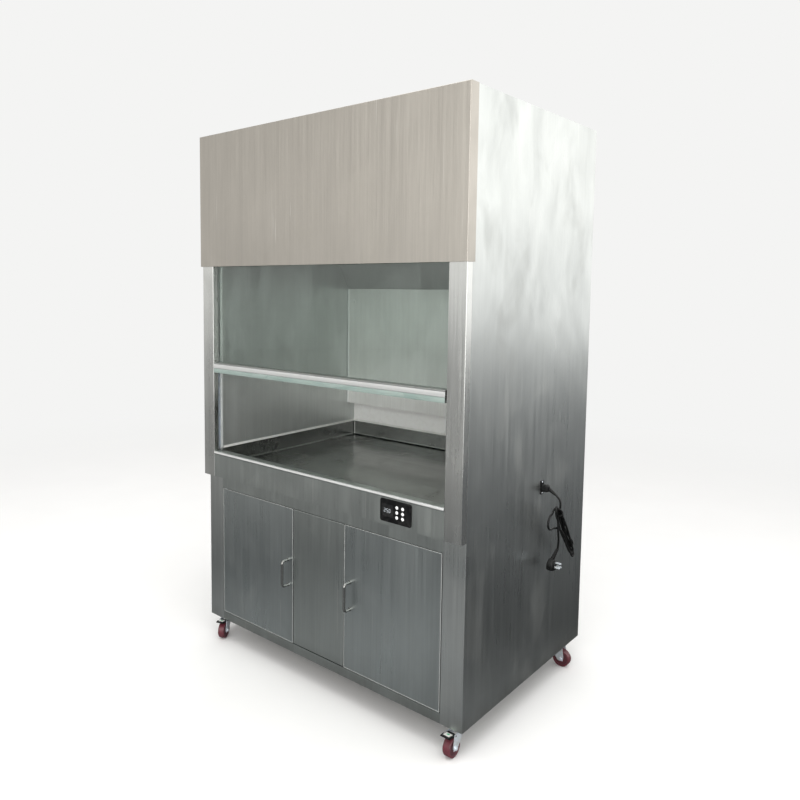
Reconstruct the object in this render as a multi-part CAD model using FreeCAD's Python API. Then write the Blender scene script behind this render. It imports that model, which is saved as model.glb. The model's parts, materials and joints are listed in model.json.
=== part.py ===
"""Ducted bench fume hood: stainless sheet cabinet on four swivel casters.

Units are millimetres.  X runs to the right as seen from the front, Y runs to the back, Z is up.
Every piece is drawn with y = 0 on the cabinet's front plane and z = 0 on the floor; save() then
moves it back by FRONT_SHIFT, so that the finished hood stands with its origin under its middle.
"""

import FreeCAD, Part
import math
import os

V = FreeCAD.Vector

# ---- driving dimensions of the cabinet --------------------------------------------------------
# Heights of the cabinet are counted from a datum that lies RISE above the floor.
WIDTH = 1200.0            # over the side panels
DEPTH = 850.0             # side panels, front edge to back edge
HEIGHT = 2000.0           # roof sheet
BASE_Z = 75.0             # underside of the cabinet
CASTER_H = 90.0           # floor to the underside of the cabinet
RISE = CASTER_H - BASE_Z  # the cabinet is lifted by this onto its casters
SHEET = 1.5               # stainless sheet
BACK_IN = 4.5             # the back panel is let in this far from the rear edges
THIN = 1.2                # lighter stainless sheet
HALF = WIDTH / 2
INSIDE_X = HALF - SHEET   # inner face of the side skins
SHEET_FIT = 0.3           # gap left round a sheet that is let in between others
STILE_W = 80.0            # lower front stile, folded from the side panel
JAMB_W = 62.0             # upright beside the sash opening
JAMB_PROUD = 28.0         # how far the jambs stand in front of the cabinet's front plane
FASCIA_PROUD = 36.0
FASCIA_OVER = 4.0         # the fascia is this much wider than the cabinet, each side
FASCIA_Z = 1500.0         # lower edge of the fascia
FASCIA_FOLD = 21.0        # its top fold reaches this far back over the cabinet
UPPER_Z = 670.0           # lower edge of jambs and apron
SILL_Z = 770.0            # top of the rolled sill
BENCH_Z = 712.0           # working surface of the dished worktop
OPEN_X = HALF - JAMB_W    # half the clear width between the jambs
FRONT_SHIFT = (DEPTH - FASCIA_PROUD) / 2

# ---- lower cabinet -----------------------------------------------------------------------------
RAIL_H = 28.0             # angle rails under the cabinet floor
DOOR_Z0, DOOR_Z1 = 110.0, 618.0
CENTRE_X = 121.0          # half the width of the fixed centre panel
DOOR_GAP = 3.0
DOOR_T = 20.0
DOOR_IN = CENTRE_X + DOOR_GAP
DOOR_OUT = HALF - STILE_W - DOOR_GAP
PIVOT_X = DOOR_OUT - 10.0
PIVOT_Y = 7.0
PIVOT_R = 3.0
RUN_FIT = 0.05            # radial clearance of every running fit
HANDLE_X = 150.0
HANDLE_Z = 374.0
HANDLE_PITCH = 96.0
HANDLE_R = 5.0
HANDLE_REACH = 30.0

# ---- sash --------------------------------------------------------------------------------------
SASH_Z = 1087.0           # lower edge of the sash as it is drawn, part raised
SASH_H = 760.0
GLASS_T = 5.0
SASH_EDGE = 548.0         # half the width over the sash side channels
SLOT = 12.0               # slot that the sash edges run in
CABLE_X = 557.0
CABLE_R = 1.5
PULLEY_R = 35.0           # radius at the cable's centre
SHAFT_R = 6.0
SHAFT_Z = 1905.0
SHAFT_Y = PULLEY_R
WEIGHT_Z0, WEIGHT_Z1 = 1050.0, 1510.0
EYE_H = 12.0              # cable eye on top of each weight
LUG_TOP = SASH_Z + 62     # top of the lugs that the cables lift the sash by

# ---- exhaust -----------------------------------------------------------------------------------
BACK_Y = 836.0            # front face of the liner back
BAFFLE_Y = 785.0
BAFFLE_Z0, BAFFLE_Z1 = 872.0, 1414.0
SLANT_TOP_Y, SLANT_TOP_Z = 500.0, 1900.0
CEILING_Z = 1960.0
DUCT_R = 125.0            # outside of the roof spigot
THROAT_R = 123.0          # outside of its swaged throat, under the roof
DUCT_Y = 660.0
DUCT_H = 50.0
LAMP_X, LAMP_Y0, LAMP_Y1 = 330.0, 160.0, 290.0

# ---- control unit ------------------------------------------------------------------------------
PANEL_X, PANEL_Z = 359.0, 718.0
PANEL_W, PANEL_H = 122.0, 74.0
APRON_Y = -26.0           # front face of the apron
BEZEL_Y = APRON_Y - 3.0   # front face of the control bezel
KEY_COLS = (364.5, 387.0)
KEY_ROWS = (734.0, 718.0, 702.0)
KEY_R = 5.5

# ---- casters -----------------------------------------------------------------------------------
WHEEL_R = 32.0
WHEEL_W = 25.0
TRAIL = 30.0
AXLE_R = 4.0
KING_R = 5.0
FORK_GAP = 1.5            # between the wheel and each fork cheek
PEDAL_PIN_R, PEDAL_PIN_Z = 2.5, 71.0
CASTERS = {               # name: (swivel x, swivel y, direction that the wheel trails in, brake)
    "front_right": (560.0, 36.0, -90.0, True),
    "front_left": (-552.0, 42.0, -64.0, True),
    "rear_right": (550.0, 752.0, 0.0, False),
    "rear_left": (-552.0, 752.0, -150.0, False),
}

# ---- mains lead, hanging free from the inlet on the right side panel ----------------------------
CORD_R = 3.5
INLET_Y, INLET_Z = 488.0, 740.0
BOOT_END = V(HALF + 49, 492.3, 722.0)
LEAD_ROUTE = [BOOT_END, V(HALF + 60, 494.0, 713.0), V(HALF + 66, 495.0, 700.0),
              V(HALF + 67, 495.5, 686.0), V(HALF + 64.5, 495.5, 672.0)]
HANK_TOP = V(HALF + 63, 496.0, 674.0)
HANK_END = V(HALF + 60, 635.0, 476.0)
HANK_SECTIONS = (         # share of the hank's length, half width, half thickness
    (0.0, 8.0, 7.0), (0.12, 15.0, 10.5), (0.4, 20.0, 11.5), (0.75, 22.0, 11.5), (0.93, 19.0, 10.5),
    (1.0, 10.0, 7.0),
)
LOOP_CENTRE = V(HALF + 56, 465.0, 635.0)
LOOP_R = 37.0
LOOP_T = 12.0
TAIL_ROUTE = [V(HALF + 59, 498.5, 634.0), V(HALF + 60, 497.5, 607.0), V(HALF + 60, 501.5, 581.0),
              V(HALF + 59.5, 507.0, 556.0), V(HALF + 56, 509.0, 531.0)]
PLUG_AT = V(HALF + 40, 500.0, 474.0)

# ================================ helpers =======================================================

def box(x0, x1, y0, y1, z0, z1):
    """Block between two corners."""
    low = V(min(x0, x1), min(y0, y1), min(z0, z1))
    return Part.makeBox(abs(x1 - x0), abs(y1 - y0), abs(z1 - z0), low)


def rod(radius, start, end):
    """Round bar from one point to another."""
    axis = end.sub(start)
    return Part.makeCylinder(radius, axis.Length, start, axis)


def join(*shapes):
    """One solid from touching or overlapping shapes."""
    whole = shapes[0].multiFuse(list(shapes[1:])) if len(shapes) > 1 else shapes[0]
    return whole.removeSplitter()


def mirrored(shape):
    """The same piece on the other side of the cabinet."""
    return shape.mirror(V(0, 0, 0), V(1, 0, 0))


def prism(points, direction):
    """Solid from a closed flat outline pushed along a vector."""
    wire = Part.makePolygon(points + [points[0]])
    return Part.Face(wire).extrude(direction)


def spun(profile, centre, axis, side):
    """Solid of revolution.  profile holds (distance along the axis, radius) pairs."""
    points = [centre + axis * along + side * radius for along, radius in profile]
    return Part.Face(Part.makePolygon(points + [points[0]])).revolve(centre, axis, 360)


def rounded(shape, radius, wanted):
    """Fillet the straight edges for which wanted(middle point, direction) is true."""
    edges = []
    for edge in shape.Edges:
        if not isinstance(edge.Curve, Part.Line):
            continue
        ends = [vertex.Point for vertex in edge.Vertexes]
        middle = (ends[0] + ends[1]) * 0.5
        direction = (ends[1] - ends[0]).normalize()
        if wanted(middle, direction):
            edges.append(edge)
    return shape.makeFillet(radius, edges)


def near(a, b, tolerance=0.01):
    return abs(a - b) < tolerance


def bent_path(points):
    """Wire of straight runs joined by tangent arcs, each as large as its runs allow."""
    edges = []
    radii = []
    here = points[0]
    for before, corner, after in zip(points, points[1:], points[2:]):
        into = (corner - before)
        out = (after - corner)
        reach = 0.45 * min(into.Length, out.Length)
        into.normalize()
        out.normalize()
        turn = math.acos(max(-1.0, min(1.0, into.dot(out))))
        radii.append(reach / math.tan(turn / 2))
        arc_start = corner - into * reach
        arc_end = corner + out * reach
        inward = (out - into).normalize()
        centre = corner + inward * (radii[-1] / math.cos(turn / 2))
        arc_middle = centre - inward * radii[-1]
        edges.append(Part.LineSegment(here, arc_start).toShape())
        edges.append(Part.Arc(arc_start, arc_middle, arc_end).toShape())
        here = arc_end
    edges.append(Part.LineSegment(here, points[-1]).toShape())
    return Part.Wire(edges), radii


def tube(points, radius, name):
    """Round cord along a route; prints its bend radii and how its volume compares."""
    path, radii = bent_path(points)
    start = (points[1] - points[0]).normalize()
    section = Part.Wire(Part.Circle(points[0], start, radius).toShape())
    solid = path.makePipeShell([section], True, False)
    expected = math.pi * radius ** 2 * path.Length
    print(name, "bend radii", [round(r, 1) for r in radii], "length", round(path.Length, 1),
          "volume ratio", round(solid.Volume / expected, 4))
    return solid


def save(name, *solids, rise=RISE):
    """Write one sub-part, moved so that the origin lies on the floor under the middle of the hood."""
    moved = []
    for solid in solids:
        piece = solid.copy()
        piece.translate(V(0, -FRONT_SHIFT, rise))
        moved.append(piece)
    shape = moved[0] if len(moved) == 1 else Part.makeCompound(moved)
    shape.exportStep(os.path.join("parts", name + ".step"))


# ================================ outer cabinet =================================================

def side_panel(with_inlet):
    """Right side skin: plate, folded front stile below, narrow folds elsewhere."""
    inner = INSIDE_X
    lip = 24.0
    skin = box(inner, HALF, 0, DEPTH, BASE_Z, HEIGHT)
    stile = box(HALF - STILE_W, HALF, 0, SHEET, BASE_Z, UPPER_Z)
    stile_lip = box(HALF - STILE_W, HALF - STILE_W + SHEET, 0, lip, BASE_Z, UPPER_Z)
    upper_fold = box(HALF - lip, HALF, 0, SHEET, UPPER_Z, HEIGHT - 3)
    rear_fold = box(HALF - lip, HALF, DEPTH - SHEET, DEPTH, BASE_Z, HEIGHT)
    panel = join(skin, stile, stile_lip, upper_fold, rear_fold)
    panel = rounded(panel, 2.5, lambda m, d: near(abs(d.z), 1) and near(m.x, HALF))
    if with_inlet:
        panel = panel.cut(box(inner - 1, HALF + 1, INLET_Y - 10, INLET_Y + 10, INLET_Z - 14, INLET_Z + 14))
    return panel


def back_panel():
    x1 = INSIDE_X - SHEET_FIT
    outer = DEPTH - BACK_IN
    return box(-x1, x1, outer - SHEET, outer, BASE_Z + SHEET, HEIGHT - SHEET)


def roof_panel():
    """Roof sheet with the duct hole; its front edge runs under the fascia's top fold."""
    x1 = INSIDE_X - SHEET_FIT
    plate = box(-x1, x1, FASCIA_FOLD + 1, DEPTH - SHEET - SHEET_FIT, HEIGHT - SHEET, HEIGHT)
    hole = rod(THROAT_R + 0.5, V(0, DUCT_Y, HEIGHT - 5), V(0, DUCT_Y, HEIGHT + 5))
    return plate.cut(hole)


def duct_collar():
    """Spigot for the extract duct: a flange on the roof, and a narrower throat down to the ceiling."""
    flange_z, top = HEIGHT + SHEET, HEIGHT + DUCT_H
    throat_z = CEILING_Z - 4
    spigot = rod(DUCT_R, V(0, DUCT_Y, HEIGHT), V(0, DUCT_Y, top))
    flange = rod(DUCT_R + 22, V(0, DUCT_Y, HEIGHT), V(0, DUCT_Y, flange_z))
    throat = rod(THROAT_R, V(0, DUCT_Y, throat_z), V(0, DUCT_Y, HEIGHT))
    bore = rod(DUCT_R - SHEET, V(0, DUCT_Y, flange_z), V(0, DUCT_Y, top + 1))
    throat_bore = rod(THROAT_R - SHEET, V(0, DUCT_Y, throat_z - 1), V(0, DUCT_Y, flange_z))
    return join(spigot, flange, throat).cut(bore).cut(throat_bore)


def base_rails():
    """Angle rails under the cabinet floor: two wide ones for the casters and two across."""
    y0, y1 = SHEET + 24, DEPTH - BACK_IN - SHEET - 0.5
    x1 = INSIDE_X - 0.5
    wall = 3.0
    side_foot, cross_foot = 80.0, 40.0
    z0, z1 = BASE_Z, BASE_Z + RAIL_H
    rails = []
    for side in (-1, 1):
        upright = box(side * (x1 - wall), side * x1, y0, y1, z0, z1)
        foot = box(side * (x1 - side_foot), side * x1, y0, y1, z0, z0 + wall)
        rails.append(join(upright, foot))
    x2 = x1 - side_foot - 1
    for edge, inward in ((y0, 1), (y1, -1)):
        upright = box(-x2, x2, edge, edge + inward * wall, z0, z1)
        foot = box(-x2, x2, edge, edge + inward * cross_foot, z0, z0 + wall)
        rails.append(join(upright, foot))
    return rails


def cabinet_floor():
    x1 = INSIDE_X - 1
    y1 = DEPTH - BACK_IN - SHEET - 0.5
    z0 = BASE_Z + RAIL_H
    floor = box(-x1, x1, 26, y1, z0, z0 + SHEET)
    upstand = box(-x1, x1, y1 - SHEET, y1, z0, z0 + 30)
    return join(floor, upstand)


def face_rails():
    """Rails and mullions of the door frame: folded channels open to the back."""
    x1 = HALF - STILE_W
    depth = 24.0

    def channel(x0, x2, z0, z1, lengthways):
        face = box(x0, x2, 0, SHEET, z0, z1)
        if lengthways:
            return join(face, box(x0, x2, 0, depth, z0, z0 + SHEET), box(x0, x2, 0, depth, z1 - SHEET, z1))
        return join(face, box(x0, x0 + SHEET, 0, depth, z0, z1), box(x2 - SHEET, x2, 0, depth, z0, z1))

    top = channel(-x1, x1, DOOR_Z1 + 2, UPPER_Z, True)
    bottom = channel(-x1, x1, BASE_Z, DOOR_Z0 - 2, True)
    y0, y1 = DOOR_T + 1.5, 36.0
    inner, outer = CENTRE_X - 26, CENTRE_X - 1
    posts = []
    for side in (-1, 1):
        hole = rod(PIVOT_R, V(side * PIVOT_X, PIVOT_Y, 90), V(side * PIVOT_X, PIVOT_Y, 640))
        top = top.cut(hole)
        bottom = bottom.cut(hole)
        post = box(side * inner, side * outer, y0, y1, DOOR_Z0 - 2, DOOR_Z1 + 2)
        hollow = box(side * (inner + SHEET), side * (outer - SHEET), y0 + SHEET, y1 + 1,
                     DOOR_Z0 - 3, DOOR_Z1 + 3)
        posts.append(post.cut(hollow))
    return [top, bottom] + posts


def pan(x0, x1, z0, z1, depth, lip):
    """Shallow tray-shaped panel: face at y = 0, edges folded back, lips folded inward."""
    outer = box(x0, x1, 0, depth, z0, z1)
    outer = rounded(outer, 1.8, lambda m, d: near(m.y, 0))
    cavity = box(x0 + THIN, x1 - THIN, THIN, depth - THIN, z0 + THIN, z1 - THIN)
    mouth = box(x0 + lip, x1 - lip, depth - 2 * THIN, depth + 1, z0 + lip, z1 - lip)
    return outer.cut(cavity).cut(mouth)


def centre_panel():
    return pan(-CENTRE_X, CENTRE_X, DOOR_Z0, DOOR_Z1, DOOR_T, 26)


def door():
    """Right door, hinged on its outer edge on two pivots."""
    leaf = pan(DOOR_IN, DOOR_OUT, DOOR_Z0, DOOR_Z1, DOOR_T, 14)
    stiffener = box(DOOR_IN + 30, DOOR_OUT - 30, THIN, DOOR_T - THIN, 360, 372)
    stiffener = stiffener.cut(box(DOOR_IN + 29, DOOR_OUT - 29, THIN * 2, DOOR_T, 361.2, 370.8))
    sockets = []
    for z0, z1 in ((DOOR_Z0, DOOR_Z0 + 16), (DOOR_Z1 - 16, DOOR_Z1)):
        sockets.append(rod(PIVOT_R + 2.4, V(PIVOT_X, PIVOT_Y, z0), V(PIVOT_X, PIVOT_Y, z1)))
    leaf = join(leaf, stiffener, *sockets)
    for z0, z1 in ((DOOR_Z0 - 1, DOOR_Z0 + 13), (DOOR_Z1 - 13, DOOR_Z1 + 1)):
        leaf = leaf.cut(rod(PIVOT_R + RUN_FIT, V(PIVOT_X, PIVOT_Y, z0), V(PIVOT_X, PIVOT_Y, z1)))
    return leaf


def door_pivots():
    """Four pivot pins, pressed up and down out of the frame rails into the doors."""
    pins = []
    for side in (-1, 1):
        x = side * PIVOT_X
        low = join(rod(PIVOT_R, V(x, PIVOT_Y, DOOR_Z0 - 6), V(x, PIVOT_Y, DOOR_Z0 + 11)),
                   rod(PIVOT_R + 2, V(x, PIVOT_Y, DOOR_Z0 - 2), V(x, PIVOT_Y, DOOR_Z0 - 0.4)))
        high = join(rod(PIVOT_R, V(x, PIVOT_Y, DOOR_Z1 - 11), V(x, PIVOT_Y, DOOR_Z1 + 6)),
                    rod(PIVOT_R + 2, V(x, PIVOT_Y, DOOR_Z1 + 0.4), V(x, PIVOT_Y, DOOR_Z1 + 2)))
        pins += [low, high]
    return pins


def door_handle():
    """Polished bow handle: a bent round bar on two feet."""
    low, high = HANDLE_Z - HANDLE_PITCH / 2, HANDLE_Z + HANDLE_PITCH / 2
    bend = 11.0
    kink = bend * (1 - math.sqrt(0.5))
    front = -HANDLE_REACH

    def at(y, z):
        return V(HANDLE_X, y, z)

    low_arc = [at(front + bend, low), at(front + kink, low + kink), at(front, low + bend)]
    high_arc = [at(front, high - bend), at(front + kink, high - kink), at(front + bend, high)]
    edges = [
        Part.LineSegment(at(0, low), low_arc[0]).toShape(),
        Part.Arc(*low_arc).toShape(),
        Part.LineSegment(low_arc[-1], high_arc[0]).toShape(),
        Part.Arc(*high_arc).toShape(),
        Part.LineSegment(high_arc[-1], at(0, high)).toShape(),
    ]
    section = Part.Wire(Part.Circle(at(0, low), V(0, 1, 0), HANDLE_R).toShape())
    bar = Part.Wire(edges).makePipeShell([section], True, False)
    feet = [rod(HANDLE_R + 1.5, at(-3, z), at(0, z)) for z in (low, high)]
    return join(bar, *feet)


def door_catches():
    """Magnetic catches behind the free edge of each door."""
    blocks = []
    for side in (-1, 1):
        for z in (DOOR_Z1 - 24, DOOR_Z0 + 24):
            x = side * (CENTRE_X + 24)
            blocks.append(box(x - 21, x + 21, DOOR_T + 1.2, DOOR_T + 13, z - 7, z + 7))
    return blocks


# ================================ upper front ===================================================

def jamb():
    """Right upright beside the sash opening: a folded channel."""
    x0, x1, top = OPEN_X, HALF, CEILING_Z
    face = box(x0, x1, -JAMB_PROUD, -JAMB_PROUD + SHEET, UPPER_Z, top)
    outer = box(x1 - SHEET, x1, -JAMB_PROUD, -0.2, UPPER_Z, top)
    inner = box(x0, x0 + SHEET, -JAMB_PROUD, -SLOT / 2, UPPER_Z, top)
    foot = box(x0, x1, -JAMB_PROUD, -0.2, UPPER_Z, UPPER_Z + SHEET)
    shape = join(face, outer, inner, foot)
    return rounded(shape, 2.2, lambda m, d: near(abs(d.z), 1) and near(m.y, -JAMB_PROUD))


def fascia():
    """Big plain upper front panel, folded round the sides and over the roof."""
    x1 = HALF + FASCIA_OVER
    y0 = -FASCIA_PROUD
    face = box(-x1, x1, y0, y0 + THIN, FASCIA_Z, HEIGHT)
    cap_x = INSIDE_X - SHEET_FIT
    cap = box(-x1, x1, y0, -SHEET_FIT, HEIGHT - THIN, HEIGHT)
    fold = box(-cap_x, cap_x, -SHEET_FIT, FASCIA_FOLD, HEIGHT - THIN, HEIGHT)
    sides = [box(s * (x1 - THIN), s * x1, y0, 6, FASCIA_Z, HEIGHT) for s in (-1, 1)]
    hem = box(-x1, x1, y0, y0 + 6, FASCIA_Z, FASCIA_Z + THIN)
    shape = join(face, cap, fold, hem, *sides)
    return rounded(shape, 2.0, lambda m, d: near(m.y, y0) and (near(abs(m.x), x1) or near(m.z, HEIGHT)))


def front_apron():
    """Apron below the sash opening, with a rolled sill and the control unit's cut-out."""
    x1 = OPEN_X - 0.3
    bead_r = 6.0
    face = box(-x1, x1, APRON_Y, APRON_Y + SHEET, UPPER_Z, SILL_Z - bead_r)
    foot = box(-x1, x1, APRON_Y, -0.2, UPPER_Z, UPPER_Z + SHEET)
    sill = box(-x1, x1, APRON_Y + 2, 8, SILL_Z - SHEET, SILL_Z)
    bead_y, bead_z = APRON_Y + 2, SILL_Z - bead_r
    bead = rod(bead_r, V(-x1, bead_y, bead_z), V(x1, bead_y, bead_z))
    bead = bead.cut(rod(bead_r - SHEET, V(-x1 - 1, bead_y, bead_z), V(x1 + 1, bead_y, bead_z)))
    drop = box(-x1, x1, 6.5, 8, BENCH_Z - 12, SILL_Z)
    shape = join(face, foot, sill, bead, drop)
    w, h = PANEL_W / 2 - 5, PANEL_H / 2 - 5
    return shape.cut(box(PANEL_X - w, PANEL_X + w, APRON_Y - 8, 0, PANEL_Z - h, PANEL_Z + h))


def control_bezel():
    """Control unit: rounded bezel on the apron with its case behind."""
    w, h = PANEL_W / 2, PANEL_H / 2
    front = BEZEL_Y
    bezel = box(PANEL_X - w, PANEL_X + w, front, APRON_Y, PANEL_Z - h, PANEL_Z + h)
    bezel = rounded(bezel, 7, lambda m, d: near(abs(d.y), 1))
    rim = [e for e in bezel.Edges if all(near(v.Point.y, front) for v in e.Vertexes)]
    bezel = bezel.makeFillet(1.0, rim)
    case = box(PANEL_X - w + 6, PANEL_X + w - 6, APRON_Y, 2, PANEL_Z - h + 6, PANEL_Z + h - 6)
    unit = join(bezel, case)
    window = box(PANEL_X - 52, PANEL_X - 9, front - 1, front + 1.6, PANEL_Z - 20, PANEL_Z + 20)
    unit = unit.cut(window)
    for x in KEY_COLS:
        for z in KEY_ROWS:
            unit = unit.cut(rod(KEY_R + 0.3, V(x, front - 1, z), V(x, front + 5, z)))
    return unit


def display_window():
    lens = box(PANEL_X - 51.8, PANEL_X - 9.2, BEZEL_Y + 0.3, BEZEL_Y + 1.6, PANEL_Z - 19.8, PANEL_Z + 19.8)
    return rounded(lens, 2.0, lambda m, d: near(abs(d.y), 1))


def key(x, z):
    """Round push button, domed, with room to travel behind it."""
    profile = [(-0.9, 0), (-0.9, KEY_R - 1.6), (-0.2, KEY_R - 0.4), (0.4, KEY_R), (3.4, KEY_R), (3.4, 0)]
    return spun(profile, V(x, BEZEL_Y, z), V(0, 1, 0), V(1, 0, 0))


# ================================ sash ==========================================================

def sash_glass():
    return box(-SASH_EDGE + 3, SASH_EDGE - 3, -GLASS_T / 2, GLASS_T / 2, SASH_Z + 6, SASH_Z + SASH_H - 2)


def sash_frame():
    """Side channels and top channel of the sash, with the two cable lugs."""
    y = 4.5
    top = SASH_Z + SASH_H
    rail = box(-SASH_EDGE, SASH_EDGE, -y, y, top - 22, top)
    sides = [box(s * (SASH_EDGE - 12), s * SASH_EDGE, -y, y, SASH_Z + 40, top) for s in (-1, 1)]
    lugs = [box(s * (SASH_EDGE - 2), s * (CABLE_X + 3), -3, y, LUG_TOP - 18, LUG_TOP) for s in (-1, 1)]
    pane = box(-SASH_EDGE + 3, SASH_EDGE - 3, -GLASS_T / 2, GLASS_T / 2, SASH_Z, top - 2)
    return join(rail, *sides, *lugs).cut(pane)


def sash_handle():
    """Bottom rail of the sash: folded channel with a finger lip across the front."""
    x1 = OPEN_X - 3
    z0, z1 = SASH_Z, SASH_Z + 38
    front = -30.0
    top = box(-x1, x1, front, 6, z1 - 2, z1)
    face = box(-x1, x1, front, front + 2, z0, z1)
    lip = box(-x1, x1, front, front + 14, z0, z0 + 2)
    clamp = box(-x1, x1, -5.5, 6, z0, z1)
    shape = join(top, face, lip, clamp)
    shape = shape.cut(box(-x1 - 1, x1 + 1, -GLASS_T / 2, GLASS_T / 2, z0 + 6, z1 + 1))
    return rounded(shape, 1.5, lambda m, d: near(m.y, front) and near(abs(d.x), 1))


def guide_tracks():
    """U-shaped tracks in the side walls that the sash edges run in."""
    tracks = []
    for side in (-1, 1):
        web = box(side * 562, side * 563.5, -7.5, 7.5, SILL_Z, 1860)
        legs = [box(side * (OPEN_X + 2), side * 563.5, y, y + 1.5, SILL_Z, 1860) for y in (-7.5, 6.0)]
        tracks.append(join(web, *legs))
    return tracks


def counterweight():
    """Right counterweight: steel bar with an eye for the cable."""
    y = 2 * PULLEY_R
    bar = box(CABLE_X - 16, CABLE_X + 16, y - 28, y + 28, WEIGHT_Z0, WEIGHT_Z1)
    bar = rounded(bar, 3, lambda m, d: near(abs(d.z), 1))
    eye = rod(5, V(CABLE_X, y, WEIGHT_Z1), V(CABLE_X, y, WEIGHT_Z1 + EYE_H))
    return join(bar, eye)


def sync_shaft():
    """Shaft across the hood with a grooved pulley near each end."""
    shaft = rod(SHAFT_R, V(-580, SHAFT_Y, SHAFT_Z), V(580, SHAFT_Y, SHAFT_Z))
    wheels = []
    groove = [(-5, 0), (-5, PULLEY_R + 4), (-3, PULLEY_R + 4), (-1.6, PULLEY_R - 2), (1.6, PULLEY_R - 2),
              (3, PULLEY_R + 4), (5, PULLEY_R + 4), (5, 0)]
    for side in (-1, 1):
        wheels.append(spun(groove, V(side * CABLE_X, SHAFT_Y, SHAFT_Z), V(1, 0, 0), V(0, 1, 0)))
    return join(shaft, *wheels)


def sash_cables():
    """Wire ropes from the sash lugs over the pulleys to the counterweights."""
    ropes = []
    for side in (-1, 1):
        x = side * CABLE_X
        start, front = V(x, 0, LUG_TOP), V(x, 0, SHAFT_Z)
        top = V(x, SHAFT_Y, SHAFT_Z + PULLEY_R)
        rear, end = V(x, 2 * PULLEY_R, SHAFT_Z), V(x, 2 * PULLEY_R, WEIGHT_Z1 + EYE_H)
        path = Part.Wire([Part.LineSegment(start, front).toShape(),
                          Part.Arc(front, top, rear).toShape(),
                          Part.LineSegment(rear, end).toShape()])
        section = Part.Wire(Part.Circle(start, V(0, 0, 1), CABLE_R).toShape())
        ropes.append(path.makePipeShell([section], True, False))
    return ropes


# ================================ chamber =======================================================

def worktop():
    """Dished stainless bench: flat floor with an upstand all round."""
    x1 = OPEN_X - 0.8
    y0, y1 = 8.4, BACK_Y - 0.4
    wall = 2.0
    outer = box(-x1, x1, y0, y1, BENCH_Z - wall, SILL_Z + 8)
    dish = box(-x1 + wall, x1 - wall, y0 + wall, y1 - wall, BENCH_Z, SILL_Z + 20)
    dish = rounded(dish, 8, lambda m, d: near(m.z, BENCH_Z) or near(abs(d.z), 1))
    tray = outer.cut(dish)
    front_cut = box(-x1 - 1, x1 + 1, y0 - 1, y0 + wall + 0.01, SILL_Z, SILL_Z + 30)
    return tray.cut(front_cut)


def liner_side():
    """Right inner wall, with the bearing hole for the shaft and a lamp-side front fold."""
    x0, x1 = OPEN_X, OPEN_X + THIN
    wall = box(x0, x1, SLOT / 2, BACK_Y, BENCH_Z - 12, CEILING_Z)
    fold = box(x0, x0 + 9, 10, 10 + THIN, 1862, CEILING_Z)
    boss = rod(15, V(x0, SHAFT_Y, SHAFT_Z), V(x0 + 8, SHAFT_Y, SHAFT_Z))
    hole = rod(SHAFT_R + RUN_FIT, V(x0 - 1, SHAFT_Y, SHAFT_Z), V(x0 + 9, SHAFT_Y, SHAFT_Z))
    return join(wall, fold, boss).cut(hole)


def liner_back():
    return box(-OPEN_X, OPEN_X, BACK_Y, BACK_Y + THIN, BENCH_Z - 12, CEILING_Z)


def liner_ceiling():
    plate = box(-OPEN_X, OPEN_X, 60, BACK_Y, CEILING_Z, CEILING_Z + THIN)
    duct = rod(THROAT_R + 0.5, V(0, DUCT_Y, CEILING_Z - 5), V(0, DUCT_Y, CEILING_Z + 5))
    lamp = box(-LAMP_X, LAMP_X, LAMP_Y0, LAMP_Y1, CEILING_Z - 5, CEILING_Z + 5)
    return plate.cut(duct).cut(lamp)


def lamp_housing():
    """Lamp tray let into the ceiling from above."""
    x1 = LAMP_X - 0.5
    outer = box(-x1, x1, LAMP_Y0 + 0.5, LAMP_Y1 - 0.5, CEILING_Z + 2, HEIGHT - 6)
    flange = box(-x1 - 15, x1 + 15, LAMP_Y0 - 14, LAMP_Y1 + 14, CEILING_Z + THIN, CEILING_Z + 2.4)
    hollow = box(-x1 + THIN, x1 - THIN, LAMP_Y0 + 1.7, LAMP_Y1 - 1.7, CEILING_Z, HEIGHT - 7.2)
    return join(outer, flange).cut(hollow)


def lamp_diffuser():
    lens = box(-LAMP_X + 1, LAMP_X - 1, LAMP_Y0 + 1, LAMP_Y1 - 1, CEILING_Z - 4, CEILING_Z + THIN)
    return rounded(lens, 2.5, lambda m, d: near(m.z, CEILING_Z - 4))


def baffle_rear():
    """Upright rear baffle on four standoffs, leaving the exhaust slot below it."""
    plate = box(-OPEN_X + 1, OPEN_X - 1, BAFFLE_Y, BAFFLE_Y + THIN, BAFFLE_Z0, BAFFLE_Z1)
    hem = box(-OPEN_X + 1, OPEN_X - 1, BAFFLE_Y, BAFFLE_Y + 12, BAFFLE_Z0, BAFFLE_Z0 + THIN)
    studs = []
    for x in (-505, 505):
        for z in (BAFFLE_Z0 + 60, BAFFLE_Z1 - 60):
            studs.append(rod(7, V(x, BAFFLE_Y, z), V(x, BACK_Y, z)))
            studs.append(rod(11, V(x, BAFFLE_Y - 3, z), V(x, BAFFLE_Y, z)))
    return join(plate, hem, *studs)


def baffle_upper():
    """Slanted upper baffle from the top of the rear baffle up to the ceiling slot."""
    rise = V(0, SLANT_TOP_Y - BAFFLE_Y, SLANT_TOP_Z - BAFFLE_Z1 - 1)
    across = V(0, rise.z, -rise.y).normalize() * THIN
    x0 = -OPEN_X + 0.5
    foot = V(x0, BAFFLE_Y, BAFFLE_Z1 + 1)
    points = [foot, foot + rise, foot + rise + across, foot + across]
    return prism(points, V(2 * (OPEN_X - 0.5), 0, 0))


# ================================ casters =======================================================

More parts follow.
